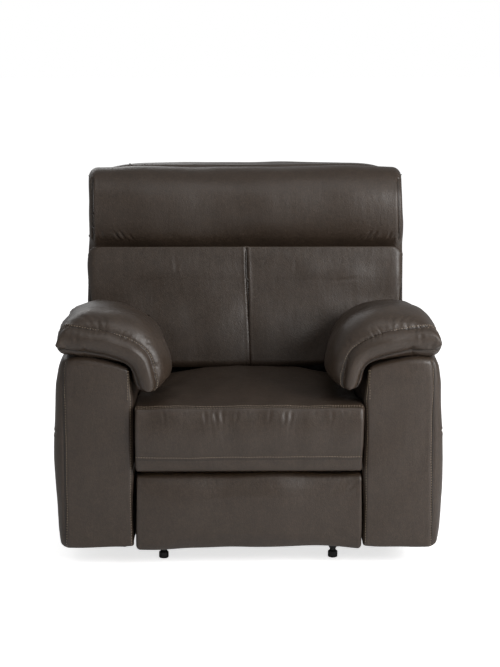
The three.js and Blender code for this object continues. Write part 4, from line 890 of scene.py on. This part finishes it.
PAD_TOP = [(515, 622), (513, 641), (500, 664), (484, 683), (462, 697), (430, 706), (395, 709),
           (360, 706), (325, 698), (290, 682), (258, 654), (232, 617), (217, 580), (212, 551),
           (217, 525), (230, 506), (244, 498)]
PAD_UPPER_SEAM = [(512, 628), (508, 648), (496, 664), (475, 668), (428, 660), (368, 649),
                  (321, 633), (290, 616), (271, 597), (261, 575), (254, 548), (249, 520),
                  (250, 506), (256, 500)]
PAD_LOWER_SEAM = [(512, 626), (512, 623), (506, 620), (490, 616), (454, 610), (414, 603),
                  (374, 593), (336, 580), (318, 570), (307, 557), (299, 538), (294, 518),
                  (287, 504), (276, 499)]
PAD_UNDER = [(512, 620), (510, 608), (500, 597), (478, 592), (440, 589), (402, 584.5),
             (365, 577.5), (338, 571), (320, 560), (311.5, 545), (308.5, 528), (303, 511),
             (295, 502), (280, 499)]


def arm_pad(scene, side):
    seams = scene.recliner_seams
    way = SIDES[side]
    low, high = span(f"arm_pad_{side}")
    count = 120
    lines = [curve(np.array(line) * MM, count)
             for line in (PAD_TOP, PAD_UPPER_SEAM, PAD_LOWER_SEAM, PAD_UNDER)]
    top, upper, lower, under = lines
    middle = (upper + lower) / 2
    nose, rear = low[1], high[1]
    upper_y, lower_y = nose + 25 * MM, nose + 20 * MM
    bow, tail = 92 * MM, 45 * MM
    stations = [nose + 25 * MM * (1 - math.cos(t)) for t in np.linspace(0.3, math.pi / 2, 9)]
    stations += list(upper_y + bow * np.linspace(0, 1, 22)[1:] ** 1.25)
    stations += list(np.linspace(stations[-1], rear - tail, 60))[1:]
    stations += [rear - tail + tail * math.sin(t) for t in np.linspace(0.12, 1.45, 12)]
    rings = []
    for y in stations:
        # In front, the top and the underside draw in to their seams and then to the nose between.
        high_line = (top + (upper - top) * tucked((upper_y + bow - y) / bow)
                     + (middle - upper) * tucked((upper_y - y) / (25.5 * MM)))
        low_line = (under + (lower - under) * tucked((lower_y + 22 * MM - y) / (22 * MM))
                    + (middle - lower) * tucked((lower_y - y) / (20.5 * MM)))
        # Towards the back the pad sinks, and its end closes.
        sink = 0.44 * min(max((y - (rear - 400 * MM)) / (400 * MM), 0), 1)
        closed = tucked((y - (rear - tail)) / (tail + 0.5 * MM))
        sink = sink + (0.58 - sink) * closed
        thick = low_line - high_line
        ring = np.vstack([high_line + thick * sink, (low_line - thick * 0.36 * closed)[::-1]])
        rings.append(np.column_stack([ring[:, 0] * way, np.full(len(ring), y), ring[:, 1]]))
    piece = skin(f"arm_pad_{side}_leather", rings, cap=0)
    settle(piece, lambda p: (p[:, 2] < 498 * MM) | (p[:, 1] > rear - 30 * MM)
           | ((p[:, 1] > lower_y + 14 * MM) & (p[:, 2] < 590 * MM) & (np.abs(p[:, 0]) > 306 * MM)),
           1.2, 6 * MM, slack=0.008, rounds=2)
    refine(piece)

    def front_path(line, y):
        return [(way * x, y, z) for x, z in line]

    round_corner = [(way * 512 * MM, y, z) for y, z in zip(
        np.linspace(rear - 30 * MM, upper_y + 24 * MM, 16), np.linspace(632 * MM, 656 * MM, 16))]
    upper_path = lay(piece, round_corner + front_path(upper[20:], upper_y), 0)
    low_corner = [(way * 514 * MM, y, z) for y, z in zip(
        np.linspace(rear - 30 * MM, lower_y + 20 * MM, 16), np.linspace(606 * MM, 618 * MM, 16))]
    lower_path = lay(piece, low_corner + front_path(lower[10:-2], lower_y), 0)
    sew = Sewing(piece, 41 if way > 0 else 47)
    sew.undulate(120 * MM, 2.6 * MM)
    sew.undulate(45 * MM, 1.0 * MM)
    sew.groove(upper_path, seams.width * 0.6, seams.depth * 0.85, 0.4)
    sew.groove(lower_path, seams.width * 0.6, seams.depth * 0.7, 0.4)
    sew.gather(upper_path, 46 * MM, 1.8 * MM, 19 * MM, lambda p: p[:, 1] > upper_y - 4 * MM)
    sew.gather(upper_path, 32 * MM, 2.2 * MM, 15 * MM, lambda p: p[:, 1] < upper_y + 1 * MM)
    sew.gather(lower_path, 24 * MM, 1.6 * MM, 16 * MM)
    for x, z, dx, dz, deep in ((448, 690, -26, -26, 1.4), (424, 686, -30, -30, 1.2),
                               (392, 690, -10, -34, 0.9), (498, 655, -8, -34, 2.6),
                               (486, 650, 2, -30, 2.0), (462, 656, -6, -26, 1.6),
                               (252, 640, 18, -14, 1.2),
                               (240, 560, 20, 6, 1.8), (244, 535, 22, -4, 1.6)):
        y = upper_y + (26 * MM if z > 668 else 0)
        start = (way * x * MM, y, z * MM)
        end = (way * (x + dx) * MM, y - 8 * MM, (z + dz) * MM)
        sew.fold(lay(piece, [start, end], 0), 5.5 * MM, deep * MM)
    sew.finish()
    note_stitches(piece, "base", aside(upper_path, -way * seams.offset * 0.8))
    note_stitches(piece, "base", aside(upper_path[14:], way * seams.offset * 0.8))
    note_welt(piece, "base", lower_path, 0.6 * MM)
    cover(piece, "base", [f"arm_pad_{side}"])
    return piece


# Back cushion: two crowned halves with a welt between them, and wings above the arms

def crown(x, wide):
    """How full the front is at a place across: two lobes that meet at the middle welt."""
    share = min(abs(x) / wide, 1)
    return math.sin(math.pi * share ** 0.66) ** 0.6 * (1 - 0.2 * share ** 5)


def smooth(value, start, end):
    """0 before start, 1 after end, and a soft step between them."""
    share = np.clip((value - start) / (end - start), 0, 1)
    return share * share * (3 - 2 * share)


def middle_seam(z):
    """Where the back's middle seam runs across the seat at a height: it leans a little to one side."""
    return (12 - 11 * (z / MM - 475) / 325) * MM


def back_ring(half, radius, front, rear, z, hold, fill, wide):
    """A level outline of the back cushion, from the middle of its right side round by the front. The
    wide part and the narrow one have the same points in the middle, which follow the middle seam."""
    core, reach, middle = 284 * MM, half - radius, (front + rear) / 2

    def face(x):
        return front + hold - fill * crown(x, wide)

    turns = np.linspace(0, math.pi / 2, 9)
    corner = [(reach + radius * math.cos(t), face(reach) + radius * (1 - math.sin(t))) for t in turns]
    side = [(half + 2 * MM, middle)] + corner
    side += [(x, face(x)) for x in np.linspace(reach, core, 30)]
    side = spread(side, 60)
    ahead = side + [(x, face(x)) for x in np.linspace(core, 0, 61)[1:]]
    ahead += [(-x, n) for x, n in reversed(ahead[:-1])]
    back = spread([(half + 2 * MM, middle), (half, rear), (core, rear)], 60)
    back += [(x, rear) for x in np.linspace(core, 0, 61)[1:]]
    back += [(-x, n) for x, n in reversed(back[:-1])]
    return np.array([(x + middle_seam(z) * max(1 - abs(x) / core, 0), level(n, z), z)
                     for x, n in ahead + back[::-1]])


def spread(points, count):
    """Points spaced evenly along an open line, ends included."""
    points = np.array(points, float)
    run = lengths(points)
    return [tuple(p) for p in points_at(points, run, np.linspace(0, run[-1], count))]


def back_cushion(scene):
    seams = scene.recliner_seams
    narrow, wide = 298 * MM, 470 * MM
    wing = 600 * MM
    front, lip, rear = -112 * MM, -127.5 * MM, -19 * MM
    foot, top = span("back_cushion")[0][2], 803 * MM

    def face_at(z):
        return front + (lip - front) * smooth(z, 610 * MM, 740 * MM)

    lower_part = list(np.linspace(foot, wing - 0.2 * MM, 44))
    wing_round, crest_round, corner = 8 * MM, 4 * MM, 24 * MM
    upper_part = [wing + wing_round * (1 - math.cos(t)) for t in np.linspace(0.0, math.pi / 2, 7)]
    upper_part += list(np.linspace(wing + wing_round, top - corner, 36))[1:]
    upper_part += list(np.linspace(top - corner, top - crest_round, 9))[1:]
    upper_part += [top - crest_round * (1 - math.sin(t)) for t in np.linspace(0, 1.4, 8)][1:]
    rings = []
    for z in lower_part + upper_part:
        share = (z - foot) / (top - foot)
        ahead = smooth(z, 610 * MM, 740 * MM)
        face = face_at(z)
        fill = 13 * MM * (1 - 0.88 * ahead) * math.sin(math.pi * min(0.12 + share, 1) ** 0.9)
        fill = max(fill, 1.5 * MM)
        half = narrow
        if z >= wing:
            half = wide - wing_round * tucked(1 - (z - wing) / wing_round)
        hold = crest_round * tucked((z - (top - crest_round)) / crest_round)
        half -= 20 * MM * tucked((z - (top - corner)) / corner)
        if share < 0.06:
            hold += 14 * MM * (1 - share / 0.06) ** 2
        radius = 12 * MM if z < wing else 24 * MM
        rings.append(back_ring(half, radius, face, rear, z, hold, fill, wide - 24 * MM))
    piece = skin("back_cushion_cover", rings, cap=4)
    settle(piece, lambda p: (np.abs(p[:, 0] - middle_seam(p[:, 2])) < 3 * MM)
           | (p[:, 2] < foot + 30 * MM)
           | (p[:, 2] > top - 9 * MM) | (np.abs(p[:, 0]) > wide - 14 * MM)
           | ((p[:, 2] < wing + 12 * MM) & (np.abs(p[:, 0]) > narrow - 8 * MM)), 1.6, 8 * MM)
    refine(piece)
    clear_roll(piece, 91.5 * MM)
    heights = np.linspace(foot + 20 * MM, top - 6 * MM, 30)
    centre = [(middle_seam(z), level(face_at(z), z), z) for z in heights]
    centre = lay(piece, centre, 0)
    sew = Sewing(piece, 53)
    sew.undulate(170 * MM, 2.6 * MM)
    sew.undulate(60 * MM, 0.9 * MM)
    sew.move *= 1 - smooth(sew.co[:, 2], 720 * MM, 785 * MM)
    sew.groove(centre, 4 * MM, 3 * MM, 0.4)
    sew.gather(centre, 30 * MM, 0.4 * MM, 40 * MM)
    rims = []
    for way in (-1, 1):
        rim = [(way * (wide - 7 * MM), level(front + 6 * MM, z), z)
               for z in np.linspace(wing + 20 * MM, top - 20 * MM, 16)]
        rim = lay(piece, rim, 0)
        sew.groove(rim, seams.width, seams.depth * 0.8)
        sew.gather(rim, 30 * MM, 0.9 * MM, 20 * MM)
        rims.append(rim)
    for x, z, dx, dz, deep in ((-212, 778, 5, -56, 0.7), (-200, 768, -4, -34, 0.5),
                               (250, 700, 90, 14, 0.4), (150, 772, -3, -40, 0.4)):
        start = (x * MM, level(front - 20 * MM, z * MM), z * MM)
        end = ((x + dx) * MM, level(front - 20 * MM, (z + dz) * MM), (z + dz) * MM)
        sew.fold(lay(piece, [start, end], 0), 5 * MM, deep * MM)
    sew.finish()
    clear_roll(piece, 91 * MM)
    note_welt(piece, "back", centre[:-2], 1.0 * MM)
    for rim in rims:
        note_welt(piece, "back", rim, 0.4 * MM)
    cover(piece, "back", ["back_cushion"])
    return piece


def clear_roll(piece, radius):
    """Keeps a piece out of the hollow that the head roll turns in, and under its hinges behind."""
    co = points_in(piece.data)
    y, z = co[:, 1] - ROLL.y, co[:, 2] - ROLL.z
    behind = y * math.cos(LEAN) - z * math.sin(LEAN) > 3 * MM
    floor = np.where(behind, -30 * MM, -np.sqrt(np.maximum(radius ** 2 - y ** 2, 0)))
    inside = np.where(behind, z > floor, np.hypot(y, z) < radius)
    co[inside, 2] = (ROLL.z + floor + 0.01 * (z - floor))[inside]
    set_points(piece.data, co)


# Head roll, in the leaned back's own places: n behind the hinge's plane and t along it

def head_profile():
    pivot_n, pivot_t = -34 * MM, 520 * MM
    radius, clear = 89 * MM, 15 * MM

    def polar(degrees, r):
        return (pivot_n - r * math.cos(math.radians(degrees)),
                pivot_t + r * math.sin(math.radians(degrees)))

    arc = [polar(-61, radius)]
    bulge = [(-76, 465), (-82, 486), (-97, 501), (-114, 517), (-128, 538), (-139, 563), (-148, 594),
             (-152, 628), (-150.5, 658), (-141, 688), (-124, 712), (-98, 728), (-68, 735),
             (-44, 733), (-32.3, 722)]
    rear = [(-32.3 * MM, t * MM) for t in (680, 640, 600, 560)]
    foot = [polar(45, clear), polar(0, clear), polar(-50, clear)]
    points = arc + [(n * MM, t * MM) for n, t in bulge] + rear + foot
    return evened(curve([leaned(n, t) for n, t in points], 420, True), 180)


def head_roll(scene):
    seams = scene.recliner_seams
    profile = head_profile()
    half = 472 * MM
    radius = 30 * MM
    piece = bolster("head_roll_cover", profile, half, radius, middle=120, corner=12)
    settle(piece, lambda p: (np.hypot(p[:, 1] - ROLL.y, p[:, 2] - ROLL.z) < 101 * MM)
           | (p[:, 1] > level(-36 * MM, p[:, 2]))
           | (np.abs(p[:, 0]) > half - 14 * MM), 2.0, 9 * MM)
    refine(piece)
    sew = Sewing(piece, 61)
    sew.undulate(180 * MM, 2.4 * MM)
    sew.undulate(60 * MM, 0.8 * MM)
    face = drawn_in(profile, 4 * MM)[20:74:3]
    ends = []
    for way in (-1, 1):
        ring = [(way * (half - 14 * MM), y, z) for y, z in face]
        ring = lay(piece, ring, 0)
        sew.groove(ring, seams.width, seams.depth)
        sew.gather(ring, 22 * MM, 0.9 * MM, 14 * MM, lambda p: np.abs(p[:, 0]) < half - 12 * MM)
        ends.append(ring)
        for x, z, dx, dz, deep in ((376, 812, 16, 34, 3.2), (356, 810, 20, 40, 2.6),
                                   (334, 812, 14, 24, 1.6), (424, 816, 10, 30, 1.8)):
            start = (way * x * MM, level(-116 * MM, z * MM), z * MM)
            end = (way * (x + dx) * MM, level(-132 * MM, (z + dz) * MM), (z + dz) * MM)
            sew.fold(lay(piece, [start, end], 0), 3.5 * MM, deep * MM)
    sew.finish()
    co = points_in(piece.data)
    co[:, 0] = np.clip(co[:, 0], -half, half)
    set_points(piece.data, co)
    for ring in ends:
        note_welt(piece, "headrest", ring[6:-4], 0.3 * MM)
    cover(piece, "headrest", ["head_cushion"])
    return piece


# Back shell: the outer back and the rim that closes it round the frame

def shell_ring(half, near, far, z, corner):
    """A level outline of the outer back, from the middle of its right side round by the front."""
    turns = np.linspace(0, math.pi / 2, 9)
    points = [(half, (near + far) / 2), (half, near), (-half, near), (-half, far - corner)]
    points += [(-half + corner * (1 - math.cos(t)), far - corner * (1 - math.sin(t))) for t in turns]
    points += [((half - corner) * (k / 30 - 1), far + 5 * MM * math.sin(math.pi * k / 60))
               for k in range(1, 60)]
    points += [(half - corner * (1 - math.sin(t)), far - corner * (1 - math.cos(t))) for t in turns]
    ring = evened(np.array(points), 300)
    return np.array([(x, level(n, z), z) for x, n in ring])


def back_shell(scene):
    seams = scene.recliner_seams
    low, high = span("back_shell")
    narrow, wide = 298 * MM, 471 * MM
    near, deep = -18.6 * MM, 131 * MM
    flap, step, wing, top = low[2], 338 * MM, 606 * MM, high[2] + 5 * MM
    rings = []
    for z in (*np.linspace(flap, step - 0.2 * MM, 16), *np.linspace(step, wing - 0.2 * MM, 40)):
        hung = z < step
        half = narrow * (0.9 if hung else 1)
        start = 72 * MM if hung else near
        share = (z - flap) / (wing - flap)
        end = deep * (0.74 + 0.24 * share ** 0.8)
        if z < flap + 8 * MM:
            half -= 4 * MM
            end -= 4 * MM
        rings.append(shell_ring(half, start, end, z, 26 * MM))
    corner, crest, wing_round = 60 * MM, 40 * MM, 16 * MM
    heights = [wing + wing_round * (1 - math.cos(t)) for t in np.linspace(0, math.pi / 2, 7)]
    heights += list(np.linspace(wing + wing_round, top - corner, 56))[1:]
    heights += [top - corner * (1 - math.sin(t)) for t in np.linspace(0, 1.42, 16)][1:]
    for z in heights:
        half = wide - wing_round * tucked(1 - (z - wing) / wing_round)
        share = (z - wing) / (top - wing)
        end = deep * (0.985 - 0.10 * max(share - 0.45, 0) ** 1.5)
        fall = tucked((z - (top - corner)) / corner)
        tuck = tucked((z - (top - crest)) / crest)
        rings.append(shell_ring(half - 140 * MM * fall, near + 8 * MM * tuck,
                                end - 66 * MM * tuck, z, 30 * MM))
    piece = skin("outer_back_leather", rings, cap=6)
    co = points_in(piece.data)
    # The top edge arches a little across the seat.
    rise = np.clip((co[:, 2] - (top - 60 * MM)) / (60 * MM), 0, 1)
    co[:, 2] -= rise * 9 * MM * (np.abs(co[:, 0]) / wide) ** 3
    set_points(piece.data, co)
    refine(piece)
    # Beside the head roll its front rim stands proud of the frame and hides it.
    co = points_in(piece.data)
    n = (co[:, 1] - level(0, co[:, 2])) * math.cos(LEAN)
    rim = smooth(np.abs(co[:, 0]), 404 * MM, 416 * MM) * smooth(co[:, 2], 786 * MM, 800 * MM)
    co[:, 1] -= 9 * MM * rim * (1 - smooth(n, -12 * MM, 30 * MM))
    set_points(piece.data, co)
    sew = Sewing(piece, 71)
    sew.undulate(200 * MM, 2.6 * MM)
    sew.undulate(70 * MM, 0.7 * MM)
    upper, lower = top - 40 * MM, wing + 40 * MM
    paths = []
    for way in (-1, 1):
        for x, start, end, count in ((wide - 22 * MM, wing + 6 * MM, top - 30 * MM, 24),
                                     (narrow - 20 * MM, step + 6 * MM, wing - 4 * MM, 16)):
            paths.append([(way * x, level(deep, z), z) for z in np.linspace(start, end, count)])
    for z, n, inset in ((upper, deep - 10 * MM, 24 * MM), (lower, deep, 22 * MM)):
        paths.append([(x, level(n, z), z) for x in np.linspace(-wide + inset, wide - inset, 40)])
    paths = [lay(piece, path, 0) for path in paths]
    for path in paths:
        sew.groove(path, seams.width, seams.depth * 0.8)
        sew.gather(path, 34 * MM, 0.9 * MM, 28 * MM)
    sew.finish()
    for path in paths:
        across = abs(path[-1, 0] - path[0, 0]) > abs(path[-1, 2] - path[0, 2])
        amount = -seams.offset if across else -math.copysign(seams.offset, path[0, 0])
        note_stitches(piece, "back", shifted(path, 2 if across else 0, amount))
    cover(piece, "back", ["back_shell"])
    return piece


# Geometry Nodes: stitches and welts follow their paths

def node_group(name, inputs):
    tree = bpy.data.node_groups.new(name, "GeometryNodeTree")
    tree.interface.new_socket("Geometry", in_out="INPUT", socket_type="NodeSocketGeometry")
    for label, kind, value in inputs:
        socket = tree.interface.new_socket(label, in_out="INPUT", socket_type=kind)
        if value is not None:
            socket.default_value = value
    tree.interface.new_socket("Geometry", in_out="OUTPUT", socket_type="NodeSocketGeometry")
    return tree, node(tree, "NodeGroupInput").outputs


def stitch_tree():
    """Stitches set end to end along edges: each a small spindle of thread."""
    tree, given = node_group("stitches", [
        ("Pitch", "NodeSocketFloat", 5.5 * MM), ("Length", "NodeSocketFloat", 4 * MM),
        ("Thickness", "NodeSocketFloat", 1 * MM), ("Thread", "NodeSocketMaterial", None)])
    line = node(tree, "GeometryNodeMeshToCurve", Mesh=given["Geometry"]).outputs["Curve"]
    spots = node(tree, "GeometryNodeCurveToPoints", {"mode": "LENGTH"}, Curve=line,
                 Length=given["Pitch"]).outputs
    ball = node(tree, "GeometryNodeMeshUVSphere", Segments=6, Rings=4, Radius=0.5).outputs["Mesh"]
    size = node(tree, "ShaderNodeCombineXYZ", X=given["Thickness"], Y=given["Thickness"],
                Z=given["Length"]).outputs[0]
    placed = node(tree, "GeometryNodeInstanceOnPoints", Points=spots["Points"], Instance=ball,
                  Rotation=spots["Rotation"], Scale=size).outputs[0]
    real = node(tree, "GeometryNodeRealizeInstances", Geometry=placed).outputs[0]
    smooth = node(tree, "GeometryNodeSetShadeSmooth", Geometry=real).outputs[0]
    finished = node(tree, "GeometryNodeSetMaterial", Geometry=smooth, Material=given["Thread"])
    node(tree, "NodeGroupOutput", Geometry=finished.outputs[0])
    return tree


def welt_tree():
    """A round leather welt along edges."""
    tree, given = node_group("welts", [
        ("Radius", "NodeSocketFloat", 2.5 * MM), ("Leather", "NodeSocketMaterial", None)])
    line = node(tree, "GeometryNodeMeshToCurve", Mesh=given["Geometry"]).outputs["Curve"]
    circle = node(tree, "GeometryNodeCurvePrimitiveCircle", Resolution=10,
                  Radius=given["Radius"]).outputs["Curve"]
    tube = node(tree, "GeometryNodeCurveToMesh", Curve=line, Profile_Curve=circle,
                Fill_Caps=True).outputs["Mesh"]
    smooth = node(tree, "GeometryNodeSetShadeSmooth", Geometry=tube).outputs[0]
    real = node(tree, "GeometryNodeRealizeInstances", Geometry=smooth).outputs[0]
    finished = node(tree, "GeometryNodeSetMaterial", Geometry=real, Material=given["Leather"])
    node(tree, "NodeGroupOutput", Geometry=finished.outputs[0])
    return tree


def grow(name, tree, paths, values):
    """Runs a node tree on paths of edges and keeps the result as a plain mesh."""
    points, edges = [], []
    for path in paths:
        start = len(points)
        points += [tuple(p) for p in path]
        edges += [(start + i, start + i + 1) for i in range(len(path) - 1)]
    mesh = bpy.data.meshes.new(name)
    mesh.from_pydata(points, edges, [])
    piece = bpy.data.objects.new(name, mesh)
    bpy.context.scene.collection.objects.link(piece)
    modifier = piece.modifiers.new("grow", "NODES")
    sockets = {s.name: s.identifier for s in tree.interface.items_tree
               if s.item_type == "SOCKET" and s.in_out == "INPUT"}
    modifier.node_group = tree
    for label, value in values.items():
        modifier[sockets[label]] = value
    keep_result(piece)
    return piece


def sew_everything(scene):
    seams = scene.recliner_seams
    stitches, welts = stitch_tree(), welt_tree()
    for body, paths in stitch_paths.items():
        piece = grow(f"stitching_{body}", stitches, paths, {
            "Pitch": seams.pitch, "Length": seams.length, "Thickness": seams.thread,
            "Thread": materials["thread"]})
        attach(piece, body)
    for body, paths in welt_paths.items():
        piece = grow(f"welts_{body}", welts, paths, {
            "Radius": seams.welt, "Leather": materials["leather"]})
        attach(piece, body)


# Feet

FOOT_SHARES = [(0.0, 0.0), (0.84, 0.0), (0.97, 0.04), (1.0, 0.12), (1.0, 0.42), (0.94, 0.5),
               (0.74, 0.54), (0.62, 0.6), (0.62, 0.74), (0.76, 0.78), (0.78, 0.84), (0.78, 0.97),
               (0.6, 1.0), (0.0, 1.0)]


def feet():
    """Moulded glides under the rails, turned from one outline."""
    for name in ("front_right", "front_left", "rear_right", "rear_left"):
        low, high = span(f"foot_{name}")
        centre, radius, tall = (low + high) / 2, (high[0] - low[0]) / 2, high[2] - low[2]
        sides = 40
        rings = [[(centre[0] + radius * r * math.cos(2 * math.pi * k / sides),
                   centre[1] + radius * r * math.sin(2 * math.pi * k / sides), low[2] + tall * h)
                  for k in range(sides)] for r, h in FOOT_SHARES[1:-1]]
        piece = skin(f"glide_{name}", rings, cap=2)
        bevel = piece.modifiers.new("edges", "BEVEL")
        bevel.width = 0.5 * MM
        bevel.segments = 2
        keep_result(piece)
        piece.data.materials.append(materials["black_plastic"])
        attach(piece, "base")
        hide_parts(f"foot_{name}")


# Frame parts keep their own solids and take their finishes

def finish_frame():
    slots = {s["node"]: s["material_slot"] for s in frame["record"]["subparts"]}
    for name, part in frame["nodes"].items():
        part.data.materials.clear()
        # The back frame takes the flat black painted shade, not its plywood.
        finish = "frame_shade" if name == "back_frame" else slots[name]
        part.data.materials.append(materials[finish])


# Stage

def make_stage(scene):
    stage = scene.recliner_stage
    floor_material, tree, _ = new_material("studio floor")
    seen = node(tree, "ShaderNodeLightPath").outputs["Is Camera Ray"]
    paint = node(tree, "ShaderNodeBsdfDiffuse", Color=(*stage.floor, 1))
    glow = node(tree, "ShaderNodeEmission", Color=(1, 1, 1, 1), Strength=0.72)
    lit = node(tree, "ShaderNodeAddShader", _0=paint.outputs[0], _1=glow.outputs[0])
    close(tree, node(tree, "ShaderNodeMixShader", Fac=seen, _1=paint.outputs[0],
                     _2=lit.outputs[0]))
    mesh = bpy.data.meshes.new("studio_floor")
    reach = 30.0
    mesh.from_pydata([(-reach, -reach, 0), (reach, -reach, 0), (reach, reach, 0),
                      (-reach, reach, 0)], [], [(0, 1, 2, 3)])
    floor = bpy.data.objects.new("studio_floor", mesh)
    scene.collection.objects.link(floor)
    floor.data.materials.append(floor_material)

    world = bpy.data.worlds.new("white room")
    world.use_nodes = True
    scene.world = world
    tree = world.node_tree
    tree.nodes.clear()
    path = node(tree, "ShaderNodeLightPath").outputs
    shown = node(tree, "ShaderNodeMath", {"operation": "MAXIMUM"}, _0=path["Is Camera Ray"],
                 _1=path["Is Transmission Ray"]).outputs[0]
    room = node(tree, "ShaderNodeBackground", Color=(1, 1, 1, 1), Strength=stage.sky)
    white = node(tree, "ShaderNodeBackground", Color=(1, 1, 1, 1), Strength=1.0)
    mixed = node(tree, "ShaderNodeMixShader", Fac=shown, _1=room.outputs[0], _2=white.outputs[0])
    node(tree, "ShaderNodeOutputWorld", Surface=mixed.outputs[0])

    def lamp(name, power, size, place, target):
        data = bpy.data.lights.new(name, "AREA")
        data.energy = power
        data.shape = "RECTANGLE"
        data.size, data.size_y = size
        light = bpy.data.objects.new(name, data)
        scene.collection.objects.link(light)
        light.location = place
        light.rotation_mode = "QUATERNION"
        light.rotation_quaternion = (Vector(target) - Vector(place)).to_track_quat("-Z", "Y")

    lamp("key", stage.key * 0.6, (1.2, 1.5), (2.1, -2.7, 1.9), (0, 0, 0.6))
    lamp("side", stage.key * 0.4, (0.9, 1.2), (2.4, -1.6, 1.5), (0, 0, 0.7))
    lamp("top", stage.top, (2.0, 1.4), (0.3, -1.3, 2.9), (0, 0, 0.45))
    lamp("rear", stage.rear, (2.4, 1.6), (-1.3, 3.4, 2.6), (0, 0.2, 0.5))

    data = bpy.data.cameras.new("camera")
    data.sensor_width = 36
    data.lens = stage.lens
    camera = bpy.data.objects.new("camera", data)
    scene.collection.objects.link(camera)
    front = span("arm_cover_right")[0][1]
    camera.location = (stage.side, front - stage.distance, stage.height)
    turn = math.atan2(stage.side - stage.aim, stage.distance)
    camera.rotation_euler = (math.pi / 2 - stage.pitch, 0, turn)
    scene.camera = camera


# Operators and panel

class RECLINER_OT_materials(bpy.types.Operator):
    """Makes the finishes and gives the frame's own parts theirs"""
    bl_idname = "recliner.materials"
    bl_label = "Finishes"

    def execute(self, context):
        make_materials(context.scene)
        finish_frame()
        return {"FINISHED"}


class RECLINER_OT_seat_cushion(bpy.types.Operator):
    """Builds the seat cushion's cover"""
    bl_idname = "recliner.seat_cushion"
    bl_label = "Seat cushion"

    def execute(self, context):
        seat_cushion(context.scene)
        return {"FINISHED"}


class RECLINER_OT_footrest(bpy.types.Operator):
    """Builds the footrest's pad"""
    bl_idname = "recliner.footrest"
    bl_label = "Footrest pad"

    def execute(self, context):
        footrest_pad()
        return {"FINISHED"}


class RECLINER_OT_arms(bpy.types.Operator):
    """Builds the arm covers and the pads on them"""
    bl_idname = "recliner.arms"
    bl_label = "Arms and arm pads"

    def execute(self, context):
        for side in SIDES:
            arm_cover(context.scene, side)
            arm_pad(context.scene, side)
        return {"FINISHED"}


class RECLINER_OT_back(bpy.types.Operator):
    """Builds the back cushion and the outer back"""
    bl_idname = "recliner.back"
    bl_label = "Back"

    def execute(self, context):
        back_cushion(context.scene)
        back_shell(context.scene)
        return {"FINISHED"}


class RECLINER_OT_head(bpy.types.Operator):
    """Builds the head roll"""
    bl_idname = "recliner.head"
    bl_label = "Head roll"

    def execute(self, context):
        head_roll(context.scene)
        return {"FINISHED"}


class RECLINER_OT_seams(bpy.types.Operator):
    """Sews the stitches and lays the welts along the seams"""
    bl_idname = "recliner.seams"
    bl_label = "Stitches and welts"

    def execute(self, context):
        sew_everything(context.scene)
        return {"FINISHED"}


class RECLINER_OT_feet(bpy.types.Operator):
    """Builds the four floor glides"""
    bl_idname = "recliner.feet"
    bl_label = "Floor glides"

    def execute(self, context):
        feet()
        return {"FINISHED"}


class RECLINER_OT_stage(bpy.types.Operator):
    """Sets the floor, the light and the camera"""
    bl_idname = "recliner.stage"
    bl_label = "Stage"

    def execute(self, context):
        make_stage(context.scene)
        return {"FINISHED"}


PIECE_OPERATORS = (RECLINER_OT_materials, RECLINER_OT_seat_cushion, RECLINER_OT_footrest,
                   RECLINER_OT_arms, RECLINER_OT_back, RECLINER_OT_head, RECLINER_OT_feet,
                   RECLINER_OT_seams, RECLINER_OT_stage)
SETTINGS = {"recliner_leather": LeatherSettings, "recliner_seams": SeamSettings,
            "recliner_stage": StageSettings}


class RECLINER_PT_panel(bpy.types.Panel):
    """Lists the seat's pieces and settings"""
    bl_label = "Recliner"
    bl_idname = "RECLINER_PT_panel"
    bl_space_type = "VIEW_3D"
    bl_region_type = "UI"
    bl_category = "Recliner"

    def draw(self, context):
        for name, group in SETTINGS.items():
            box = self.layout.box()
            for field in group.__annotations__:
                box.prop(getattr(context.scene, name), field)
        for operator in PIECE_OPERATORS:
            self.layout.operator(operator.bl_idname)


CLASSES = (*SETTINGS.values(), *PIECE_OPERATORS, RECLINER_PT_panel)


def register():
    for cls in CLASSES:
        bpy.utils.register_class(cls)
    for name, group in SETTINGS.items():
        setattr(bpy.types.Scene, name, bpy.props.PointerProperty(type=group))


def unregister():
    for name in SETTINGS:
        delattr(bpy.types.Scene, name)
    for cls in reversed(CLASSES):
        bpy.utils.unregister_class(cls)


def main():
    register()
    scene = bpy.context.scene
    scene.view_settings.view_transform = "Standard"
    for operator in PIECE_OPERATORS:
        group, name = operator.bl_idname.split(".")
        getattr(getattr(bpy.ops, group), name)()


if __name__ == "__main__":
    main()
